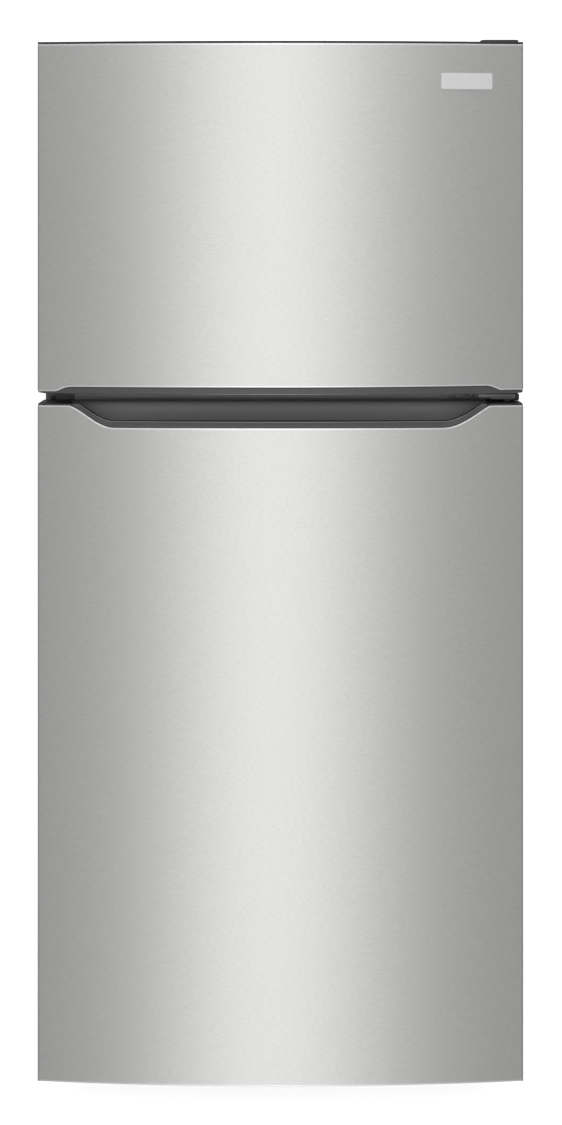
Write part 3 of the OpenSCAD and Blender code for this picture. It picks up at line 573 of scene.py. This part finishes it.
def grip_cap():
    """Top cap of the refrigerator door: end plates, and the trough behind the lip for the fingers."""
    _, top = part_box("fridge_top_cap")
    plate_lo = top.z - CAP_END_H
    reach = {-1: DOOR_HALF - GRIP_LEFT[0], 1: DOOR_HALF - GRIP_RIGHT[0]}
    back = DOOR_BACK - 0.0002
    shape, ends = Shape(), Shape()
    rear = [
        (POCKET_BACK - 0.016, POCKET_FLOOR), (POCKET_BACK - 0.011, top.z - 0.048),
        (POCKET_BACK - 0.0062, top.z - 0.038), (POCKET_BACK - 0.0028, top.z - 0.029),
        (POCKET_BACK - 0.0008, top.z - 0.020), (POCKET_BACK, top.z - 0.012),
        (POCKET_BACK + 0.0012, top.z - 0.006), (POCKET_BACK + 0.0045, top.z - 0.002),
        (POCKET_BACK + 0.0095, top.z), (back, top.z), (back, POCKET_FLOOR),
    ]
    shape.prism(rear, -reach[-1], reach[1], axis="x")
    front = TROUGH_FRONT - 0.001
    shape.box((-reach[-1], front, POCKET_FLOOR - 0.003), (reach[1], back, POCKET_FLOOR + 0.0003))
    wall = DOOR_HALF - SHEET - 0.0005
    for side in (-1, 1):
        outer = [p for p in cap_plan(CAP_INSET, back) if p[0] * side >= reach[side]]
        inner = [(side * reach[side], back), (side * reach[side], bow_y(reach[side]) + CAP_INSET)]
        ends.prism(order_round(outer + inner), plate_lo, top.z, bevel=0.0006)
        xs = sorted([side * reach[side], side * wall])
        shape.box((xs[0], TROUGH_FRONT - 0.002, POCKET_FLOOR), (xs[1], back, plate_lo))
    ends.done("grip_cap_ends", "fridge_door", CAP, "dark_plastic")
    # the trough and rear wall take the lighter plastic: painted light in the shaded pocket
    shape.done("grip_pocket_cap", "fridge_door", POCKET_PAINTED_LIGHT, "dark_plastic", ["fridge_top_cap"])


def order_round(points):
    """Puts the points of a convex outline in order round its middle."""
    cx = sum(p[0] for p in points) / len(points)
    cy = sum(p[1] for p in points) / len(points)
    return sorted(points, key=lambda p: math.atan2(p[1] - cy, p[0] - cx))


def pull_cap():
    """Bottom cap of the freezer door: a rounded lip below the steel and a recess behind it."""
    low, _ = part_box("freezer_bottom_cap")
    roof = low.z + PULL_H
    w = DOOR_HALF - 0.0015
    shape = Shape()
    loops = []
    for x in spaced(-w, w, COLUMN_STEP):
        z, y = lip_edge(x), bow_y(x)
        ease = max(0.0, 1 - (w - abs(x)) / LIP_CORNER)
        base = low.z + 0.0012 + 0.0012 * (x / w) ** 2 + 0.0016 * ease
        section = [
            (y + 0.0022, roof), (y + 0.0022, z + 0.0002), (y + 0.0012, z - 0.0006),
            (y + 0.0007, z - 0.0012), (y + 0.0006, base + 0.0016), (y + 0.0009, base + 0.0007),
            (y + 0.0016, base + 0.0001), (y + 0.0026, base),
            (TROUGH_FRONT - 0.002, base), (TROUGH_FRONT, base + 0.002), (TROUGH_FRONT, roof),
        ]
        loops.append([(x, sy, sz) for sy, sz in section])
    lip = Shape().loft(loops).done("pull_lip", "freezer_door", LIP, "dark_plastic")
    # strips along the rounded bottom edge of the lip get a painted highlight
    paint_highlight_strips(lip, len(loops[0]), LIP_PAINTED_HIGHLIGHT, range(4, 7))
    shape.box((-w, TROUGH_FRONT - 0.001, roof), (w, DOOR_BACK, roof + 0.004))
    inner = w - LIP_CORNER
    shape.box((-inner, POCKET_BACK, low.z + 0.0015), (inner, DOOR_BACK - 0.0002, roof), 0.001)
    for side in (-1, 1):
        xs = sorted([side * PULL_HALF, side * inner])
        shape.box((xs[0], TROUGH_FRONT - 0.003, low.z + 0.0022), (xs[1], POCKET_BACK + 0.002, roof), 0.001)
        xs = sorted([side * (inner - 0.001), side * w])
        shape.box((xs[0], TROUGH_FRONT - 0.003, low.z + 0.004), (xs[1], DOOR_BACK - 0.0002, roof), 0.001)
    shape.done("pull_recess_cap", "freezer_door", DARK, "dark_plastic", ["freezer_bottom_cap"])


grip_lip()
grip_cap()
pull_cap()


# ---- cabinet ----

CAB_Y = shell_lo.y
FRIDGE_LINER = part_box("fridge_liner")
FREEZER_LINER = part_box("freezer_liner")
LINER_T = 0.002
FLANGE = 0.013
INNER_HALF = FRIDGE_LINER[1].x - FLANGE - LINER_T
TUB_BACK = FRIDGE_LINER[1].y - LINER_T
FRIDGE_FLOOR = FRIDGE_LINER[0].z + 0.014
FRIDGE_CEILING = FRIDGE_LINER[1].z - LINER_T
FREEZER_FLOOR = FREEZER_LINER[0].z + LINER_T
FREEZER_CEILING = FREEZER_LINER[1].z - 0.014
TUB_R = 0.018
HUMP_Y = 0.165
HUMP_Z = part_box("base_frame")[1].z + 0.034
HUMP_R = 0.005
BOSS_Y = (-0.110, 0.220)
SPARE_RIBS_Z = (0.44, 0.68)
FRAME_T = 0.001


def rect_loop(half, z0, z1, r, y, steps=6):
    """A rounded rectangle that faces the front, centred on X."""
    return [(x, y, z) for x, z in rounded_rect((-half, z0), (half, z1), r, steps)]


def make_shell():
    """Folded wrapper with rounded top edges, and the flat front frame around both compartments."""
    lo, hi = shell_lo, shell_hi
    r = 0.003
    arc = [math.radians(90 * i / 6) for i in range(7)]

    def path(inset):
        w, top, k = hi.x - inset, hi.z - inset, r - inset
        right = [(w - k + k * math.cos(a), top - k + k * math.sin(a)) for a in arc]
        left = [(-x, z) for x, z in reversed(right)]
        return [(w, lo.z)] + right + left + [(-w, lo.z)]

    opening = INNER_HALF + LINER_T, FRIDGE_FLOOR - LINER_T, FREEZER_CEILING + LINER_T, 0.004
    shape = Shape()
    shape.prism(path(0) + path(SHEET)[::-1], lo.y, hi.y, axis="y")
    shape.ring([
        rect_loop(hi.x - 0.0005, lo.z, hi.z - 0.0005, 0.005, lo.y + 0.0012),
        rect_loop(hi.x - 0.0012, lo.z, hi.z - 0.0012, 0.005, lo.y),
        rect_loop(*opening, lo.y),
        rect_loop(*opening, lo.y + 0.0012),
    ])
    shape.done("cabinet_wrapper", "cabinet", CABINET, "cabinet_paint", ["cabinet_shell"])


def make_back():
    """Rear panel with pressed stiffening ribs and a row of screws down each side."""
    lo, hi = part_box("back_panel")
    shape = Shape().box(lo, hi, 0.0004)
    foot, crest = hi.y - 0.0005, hi.y + 0.0015
    for x in (-0.24, -0.12, 0.0, 0.12, 0.24):
        shape.box((x - 0.006, foot, lo.z + 0.07), (x + 0.006, crest, hi.z - 0.07), 0.0014, 3)
    for z in (lo.z + 0.035, hi.z - 0.035):
        shape.box((lo.x + 0.05, foot, z - 0.005), (hi.x - 0.05, crest, z + 0.005), 0.0014, 3)
    screws = Shape()
    for z in spaced(lo.z + 0.03, hi.z - 0.03, 0.2):
        for x in (lo.x + 0.012, hi.x - 0.012):
            screws.rod((x, hi.y - 0.001, z), (x, hi.y + 0.0012, z), 0.0045)
            screws.box((x - 0.003, hi.y + 0.001, z - 0.0004), (x + 0.003, hi.y + 0.0016, z + 0.0004))
    shape.done("rear_panel", "cabinet", ZINC, "galvanised", ["back_panel"])
    screws.done("rear_panel_screws", "cabinet", SCREW, "screw_steel")


def on_hump(edge):
    """Whether an edge lies along the step over the machine compartment."""
    return all(abs(v.co.y - HUMP_Y) + abs(v.co.z - HUMP_Z) < 1e-5 for v in edge.verts)


def compartment(outline, floor, ceiling):
    """A moulded tub with rounded corners, open at the front, and its front flange."""
    shape = Shape()
    shape.loft([[(x, y, z) for y, z in outline] for x in (-INNER_HALF, INNER_HALF)])
    shape.bm.normal_update()
    front = [e for e in shape.bm.edges if all(abs(v.co.y - CAB_Y) < 1e-6 for v in e.verts)]
    shape.soften([e for e in shape.bm.edges if e not in front and not on_hump(e)], TUB_R, 5)
    shape.soften([e for e in shape.bm.edges if on_hump(e)], HUMP_R, 4)
    mouth = [f for f in shape.bm.faces if all(abs(v.co.y - CAB_Y) < 1e-6 for v in f.verts)]
    bmesh.ops.delete(shape.bm, geom=mouth, context="FACES")
    bmesh.ops.recalc_face_normals(shape.bm, faces=shape.bm.faces[:])
    bmesh.ops.solidify(shape.bm, geom=shape.bm.faces[:], thickness=-0.0018)
    half = INNER_HALF + LINER_T + FLANGE - 0.001
    y0, y1 = CAB_Y + FRAME_T + 0.0003, CAB_Y + FRAME_T + 0.0015
    shape.ring([
        rect_loop(half, floor - 0.010, ceiling + 0.010, 0.004, y1, 5),
        rect_loop(half, floor - 0.010, ceiling + 0.010, 0.004, y0, 5),
        rect_loop(INNER_HALF, floor, ceiling, TUB_R, y0, 5),
        rect_loop(INNER_HALF, floor, ceiling, TUB_R, y1, 5),
    ])
    return shape


def make_freezer_liner():
    floor, ceiling = FREEZER_FLOOR, FREEZER_CEILING
    outline = [(CAB_Y, floor), (TUB_BACK, floor), (TUB_BACK, ceiling), (CAB_Y, ceiling)]
    shape = compartment(outline, floor, ceiling)
    shelf_lo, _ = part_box("freezer_shelf")
    for y in BOSS_Y:
        for side in (-1, 1):
            x = side * (INNER_HALF - 0.014), side * (INNER_HALF + 0.001)
            shape.rod((x[0], y, shelf_lo.z - 0.005), (x[1], y, shelf_lo.z - 0.005), 0.005)
    shape.done("freezer_tub", "cabinet", LINER, "white_liner", ["freezer_liner"])


def make_fridge_liner():
    floor, ceiling = FRIDGE_FLOOR, FRIDGE_CEILING
    outline = [
        (CAB_Y, floor), (HUMP_Y, floor), (HUMP_Y, HUMP_Z),
        (TUB_BACK, HUMP_Z), (TUB_BACK, ceiling), (CAB_Y, ceiling),
    ]
    shape = compartment(outline, floor, ceiling)
    frames_lo, frames_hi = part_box("shelf_frames")
    crisper_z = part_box("humidity_slider_left")[0].z - 0.002
    for z in (frames_lo.z, frames_hi.z - 0.014, crisper_z, *SPARE_RIBS_Z):
        for side in (-1, 1):
            xs = sorted([side * (INNER_HALF - 0.009), side * (INNER_HALF + 0.001)])
            shape.box((xs[0], -0.135, z - 0.005), (xs[1], 0.300, z), 0.002, 2)
    shape.done("fridge_tub", "cabinet", LINER, "white_liner", ["fridge_liner"])


make_shell()
make_back()
make_freezer_liner()
make_fridge_liner()


# ---- inner side of the doors ----

def make_door_liner(name, node, body, rim_z):
    """Door liner: flat sheet with a rounded raised rim that reaches into the compartment."""
    lo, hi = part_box(node)
    plate = lo.y + LINER_T
    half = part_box("freezer_racks")[1].x + 0.022

    def rim(inset, y, r):
        return rect_loop(half - inset, rim_z[0] + inset, rim_z[1] - inset, r, y)

    shape = Shape().loft([
        rect_loop(hi.x, lo.z, hi.z, 0.004, lo.y), rect_loop(hi.x, lo.z, hi.z, 0.004, plate - 0.0006),
        rect_loop(hi.x - 0.0006, lo.z + 0.0006, hi.z - 0.0006, 0.004, plate),
        rim(-0.003, plate, 0.017), rim(-0.001, plate + 0.001, 0.015), rim(0.0002, plate + 0.004, 0.014),
        rim(0.0012, hi.y - 0.0045, 0.0128), rim(0.0022, hi.y - 0.0016, 0.0120),
        rim(0.0045, hi.y - 0.0003, 0.010),
        rim(0.0065, hi.y, 0.009), rim(0.0155, hi.y, 0.008), rim(0.0175, hi.y - 0.0003, 0.008),
        rim(0.0203, hi.y - 0.0016, 0.008), rim(0.0211, hi.y - 0.0045, 0.0085),
        rim(0.0218, plate + 0.004, 0.009),
        rim(0.0228, plate + 0.001, 0.010), rim(0.0250, plate, 0.010),
    ])
    shape.done(name, body, LINER, "white_liner", [node])


def make_door_foam(name, node, body):
    """Foam slab inside a door's steel, with its corners rounded as the steel's are."""
    lo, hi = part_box(node)
    inset = SHEET + 0.0006
    top = min(hi.z, POCKET_FLOOR - 0.004) if body == "fridge_door" else hi.z
    outline = cap_plan(inset, DOOR_BACK - 0.0005)
    Shape().prism(outline, lo.z, top, bevel=0.002).done(name, body, FOAM, "foam", [node])


def make_gasket(name, node, body):
    """Door seal with a magnet strip on top of a soft bellows."""
    lo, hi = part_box(node)

    def run(inset, depth):
        r = max(0.004, 0.010 - inset)
        return rect_loop(hi.x - inset, lo.z + inset, hi.z - inset, r, lo.y + depth)

    shape = Shape().ring([
        run(0.0005, 0), run(0.0002, 0.0012), run(0.0016, 0.0024), run(0.0002, 0.0036),
        run(0.0002, 0.0068), run(0.0012, 0.0080), run(0.0110, 0.0080), run(0.0122, 0.0068),
        run(0.0122, 0.0042), run(0.0100, 0.0030), run(0.0130, 0.0014), run(0.0138, 0),
    ])
    shape.done(name, body, GASKET, "gasket_rubber", [node])


FREEZER_RIM = (FREEZER_FLOOR + 0.008, FREEZER_CEILING - 0.008)
FRIDGE_RIM = (FRIDGE_FLOOR + 0.010, FRIDGE_CEILING - 0.010)
make_door_liner("freezer_door_inner", "freezer_door_liner", "freezer_door", FREEZER_RIM)
make_door_liner("fridge_door_inner", "fridge_door_liner", "fridge_door", FRIDGE_RIM)
make_door_foam("freezer_door_core", "freezer_door_foam", "freezer_door")
make_door_foam("fridge_door_core", "fridge_door_foam", "fridge_door")
make_gasket("freezer_seal", "freezer_gasket", "freezer_door")
make_gasket("fridge_seal", "fridge_gasket", "fridge_door")


# ---- bins, drawers and the wire shelf ----

# underside and height of each of the two upper bins
UPPER_BINS = [(0.400, 0.090), (0.660, 0.080)]
DAIRY_HALF = 0.150
RACK_H = 0.062


def tub(shape, lo, hi, r, wall, lip=0.0, draft=0.0):
    """Open tub with rounded corners, a thick rounded rim, and walls that lean in towards the floor."""
    ease = 0.004

    def level(inset, z):
        low, high = (lo[0] + inset, lo[1] + inset), (hi[0] - inset, hi[1] - inset)
        return [(x, y, z) for x, y in rounded_rect(low, high, max(0.001, r - inset))]

    floor, rim = lo[2], hi[2]
    base = lip + draft
    shape.loft([
        level(base + ease, floor), level(base + ease * 0.3, floor + ease * 0.3), level(base, floor + ease),
        level(lip, rim - 0.010), level(lip * 0.3, rim - 0.008), level(0, rim - 0.0065),
        level(0, rim - 0.001), level(0.001, rim), level(lip + wall - 0.001, rim),
        level(lip + wall, rim - 0.001), level(base + wall, floor + ease + wall),
        level(base + wall + ease, floor + wall),
    ])


def bin_levels(node, heights):
    """Boxes of the bins of a node, from their undersides and heights."""
    lo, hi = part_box(node)
    return [((lo.x + 0.003, lo.y, z), (hi.x - 0.003, hi.y, z + h)) for z, h in heights]


def make_bins():
    lo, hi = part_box("door_bins")
    fridge = Shape()
    for low, high in bin_levels("door_bins", [(lo.z, 0.118), *UPPER_BINS]):
        tub(fridge, low, high, 0.022, 0.0022, 0.0025, 0.003)
        rail_lo = (low[0] + 0.03, high[1] - 0.0045, low[2] + 0.014)
        rail_hi = (high[0] - 0.03, high[1] - 0.0015, low[2] + 0.020)
        fridge.box(rail_lo, rail_hi, 0.001)
    box_hi = (DAIRY_HALF, hi.y - 0.016, hi.z)
    box_lo = (-DAIRY_HALF, lo.y, hi.z - 0.105)
    t = 0.0025
    fridge.box((box_lo[0], box_lo[1], box_lo[2]), (box_hi[0], box_hi[1], box_lo[2] + t), 0.0008)
    fridge.box((box_lo[0], box_lo[1], box_hi[2] - t), (box_hi[0], box_hi[1], box_hi[2]), 0.0008)
    fridge.box((box_lo[0] + t, box_lo[1], box_lo[2] + t), (box_hi[0] - t, box_lo[1] + t, box_hi[2] - t))
    for side in (-1, 1):
        xs = sorted([side * DAIRY_HALF, side * (DAIRY_HALF - t)])
        fridge.box((xs[0], box_lo[1], box_lo[2] + t), (xs[1], box_hi[1], box_hi[2] - t), 0.0008)
        fridge.box((xs[0], hi.y - 0.017, hi.z - 0.014), (xs[1], hi.y, hi.z), 0.0008)
        pin = sorted([side * (DAIRY_HALF - 0.010), side * (DAIRY_HALF - 0.0015)])
        fridge.rod((pin[0], hi.y - 0.008, hi.z - 0.007), (pin[1], hi.y - 0.008, hi.z - 0.007), 0.0025)
    fridge.done("door_shelves", "fridge_door", CLEAR, "clear_plastic", ["door_bins"])
    racks = Shape()
    lo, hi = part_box("freezer_racks")
    for low, high in bin_levels("freezer_racks", [(lo.z, RACK_H), (hi.z - RACK_H, RACK_H)]):
        tub(racks, low, high, 0.018, 0.0022, 0.0025, 0.002)
    racks.done("freezer_door_racks", "freezer_door", CLEAR, "clear_plastic", ["freezer_racks"])


def make_crisper(name, node):
    """Clear drawer with a thick rim and a finger lip along the top of its front."""
    lo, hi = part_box(node)
    lip = 0.008
    shape = Shape()
    tub(shape, (lo.x, lo.y + lip, lo.z), hi, 0.014, 0.0024, 0.003, 0.004)
    grip = 0.050
    y, top = lo.y, hi.z
    outline = [
        (y + lip + 0.001, top), (y + 0.002, top), (y + 0.0006, top - 0.0006), (y, top - 0.002),
        (y, top - 0.015), (y + 0.0008, top - 0.016), (y + 0.0016, top - 0.015),
        (y + 0.002, top - 0.0035), (y + lip + 0.001, top - 0.003),
    ]
    shape.prism(outline, lo.x + grip, hi.x - grip, axis="x")
    for z in (lo.z + 0.05, lo.z + 0.10):
        shape.box((lo.x + 0.03, lo.y + lip + 0.001, z), (hi.x - 0.03, lo.y + lip + 0.005, z + 0.004), 0.001)
    shape.done(name, node, CLEAR, "clear_plastic", [node])


def make_wire_shelf():
    lo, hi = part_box("freezer_shelf")
    shape = Shape()
    thick, thin = 0.003, 0.0016
    z = lo.z + thick
    top = z + thick + thin - 0.0006
    edge = hi.x - thick
    for y in (lo.y + thick, (lo.y + hi.y) / 2 - 0.001, hi.y - thick):
        shape.rod((-edge, y, z), (edge, y, z), thick, 12)
    for x in (-edge, edge):
        shape.rod((x, lo.y + thick, z), (x, hi.y - thick, z), thick, 12)
    for x in spaced(-0.305, 0.305, 0.0135):
        shape.rod((x, lo.y + 0.001, top), (x, hi.y - 0.001, top), thin, 8)
    shape.done("wire_shelf", "cabinet", WIRE, "white_wire", ["freezer_shelf"])


make_bins()
make_crisper("crisper_drawer_left", "crisper_left")
make_crisper("crisper_drawer_right", "crisper_right")
make_wire_shelf()


# ---- small parts ----

def make_badge():
    """Blank nameplate that follows the bow of the door."""
    lo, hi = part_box("badge")
    proud, edge, r = 0.0019, 0.0005, 0.0022
    loops = []
    for x in spaced(lo.x + 0.0001, hi.x - 0.0001, 0.0011):
        d = min(r, x - lo.x, hi.x - x)
        cut = r - math.sqrt(r * r - (r - d) ** 2)
        z0, z1, y = lo.z + cut, hi.z - cut, bow_y(x)
        section = [
            (0, z0), (edge - proud, z0), (-proud, z0 + edge),
            (-proud, z1 - edge), (edge - proud, z1), (0, z1),
        ]
        loops.append([(x, y + sy, sz) for sy, sz in section])
    Shape().loft(loops).done("nameplate", "freezer_door", BADGE, "badge_metal", ["badge"])


def make_center_hinge():
    """Centre hinge: the bracket with a folded flange along its front, and a dark cap on its end."""
    lo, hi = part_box("center_hinge")
    low, high = freezer_lo.z - 0.0118, freezer_lo.z - 0.0056
    shape = Shape().cad("center_hinge", 0.0006)
    shape.box((hi.x - 0.060, lo.y - 0.001, low), (hi.x - 0.001, lo.y + 0.002, high), 0.0008)
    shape.done("center_hinge_piece", "cabinet", HINGE, "hinge_steel", ["center_hinge"])
    end_lo = (hi.x - 0.006, lo.y + 0.001, low - 0.004)
    end_hi = (hi.x + 0.0055, hi.y - 0.004, high - 0.0002)
    end = Shape().box(end_lo, end_hi, 0.002, 3)
    end.done("center_hinge_end_cap", "cabinet", CAP, "dark_plastic")


def make_plug():
    """Blank plug in the unused hinge hole at the left end of the gap."""
    x = -shell_hi.x + 0.012
    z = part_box("center_hinge")[0].z + 0.020
    shape = Shape().rod((x, CAB_Y - 0.0010, z), (x, CAB_Y + 0.001, z), 0.0050, 24)
    shape.rod((x, CAB_Y - 0.0024, z), (x, CAB_Y + 0.001, z), 0.0032, 24)
    shape.done("hinge_hole_plug", "cabinet", CAP, "dark_plastic")


def make_ticks():
    """Raised ticks round both temperature knobs, in a narrower fan where the panel is low."""
    dials = {
        "fridge_knob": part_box("control_box")[0].y,
        "freezer_knob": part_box("evaporator_cover")[0].y + 0.004,
    }
    for knob, dial_y in dials.items():
        lo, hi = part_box(knob)
        mid, r = (lo + hi) / 2, (hi.z - lo.z) / 2
        shape = Shape()
        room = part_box("control_box")[1].z - mid.z if knob == "fridge_knob" else 1
        for i in range(7):
            a = math.radians(-60 + 20 * i) if room < r + 0.006 else math.radians(-120 + 40 * i)
            near, far = r + 0.0008, r + 0.0028
            start = (mid.x + near * math.sin(a), dial_y - 0.0002, mid.z + near * math.cos(a))
            end = (mid.x + far * math.sin(a), dial_y - 0.0002, mid.z + far * math.cos(a))
            shape.rod(start, end, 0.0005, 8)
        shape.done(knob + "_ticks", "cabinet", HINGE, "white_plastic")


make_badge()
make_center_hinge()
make_plug()
make_ticks()


# ---- CAD shapes that keep their form and get eased edges and a finish ----

def finish_node(node, material, bevel=0.0, segments=2):
    """Builds the shown piece of a CAD node: the same shape with eased edges."""
    body = frame["nodes"][node]["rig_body"]
    slot = next(s["material_slot"] for s in frame["record"]["subparts"] if s["node"] == node)
    Shape().cad(node, bevel, segments).done(node + "_piece", body, material, slot, [node])


def paint_node(node, material):
    """Gives a CAD node its finish and leaves its mesh alone."""
    mesh = frame["nodes"][node].data
    mesh.materials.clear()
    mesh.materials.append(material)


EASED = {
    "freezer_top_cap": (CAP, 0.0008), "fridge_bottom_cap": (CAP, 0.0008),
    "top_hinge_cover": (DARK, 0.0007), "toe_grille": (DARK, 0.0004), "mullion_rail": (RAIL, 0.0005),
    "top_hinge": (HINGE, 0.0006), "bottom_hinge": (HINGE, 0.0006), "hinge_screws": (HINGE, 0.0004),
    "control_box": (WHITE, 0.0008), "lamp_cover": (LENS, 0.0008), "shelf_frames": (WHITE, 0.0014),
    "crisper_cover": (WHITE, 0.0014), "evaporator_cover": (WHITE, 0.0008),
    "fridge_knob": (WHITE, 0.0012), "freezer_knob": (WHITE, 0.0012),
    "humidity_slider_left": (WHITE, 0.0008), "humidity_slider_right": (WHITE, 0.0008),
    "machine_cover": (ZINC, 0.0004), "machine_deck": (ZINC, 0.0004), "base_frame": (ZINC, 0.0004),
    "leveling_leg_left": (DARK, 0.0008), "leveling_leg_right": (DARK, 0.0008),
    "rear_roller_left": (DARK, 0.0015), "rear_roller_right": (DARK, 0.0015),
    "compressor": (ENAMEL, 0.0015), "compressor_mounts": (RUBBER, 0.001),
    "condenser_fan_motor": (DARK, 0.0006), "drain_pan": (WHITE, 0.0006), "cord_gland": (RUBBER, 0.0008),
    "dairy_cover": (CLEAR, 0.0006),
}
PAINTED = {
    "cabinet_foam": FOAM, "evaporator": ALUMINIUM, "evaporator_fan_motor": DARK, "shelf_glass": GLASS,
    "condenser_coil": ENAMEL, "refrigerant_tubes": COPPER, "evaporator_fan_blade": DARK,
    "condenser_fan_blade": DARK, "light_switch": WHITE,
}
for node, (material, bevel) in EASED.items():
    finish_node(node, material, bevel)
for node, material in PAINTED.items():
    paint_node(node, material)
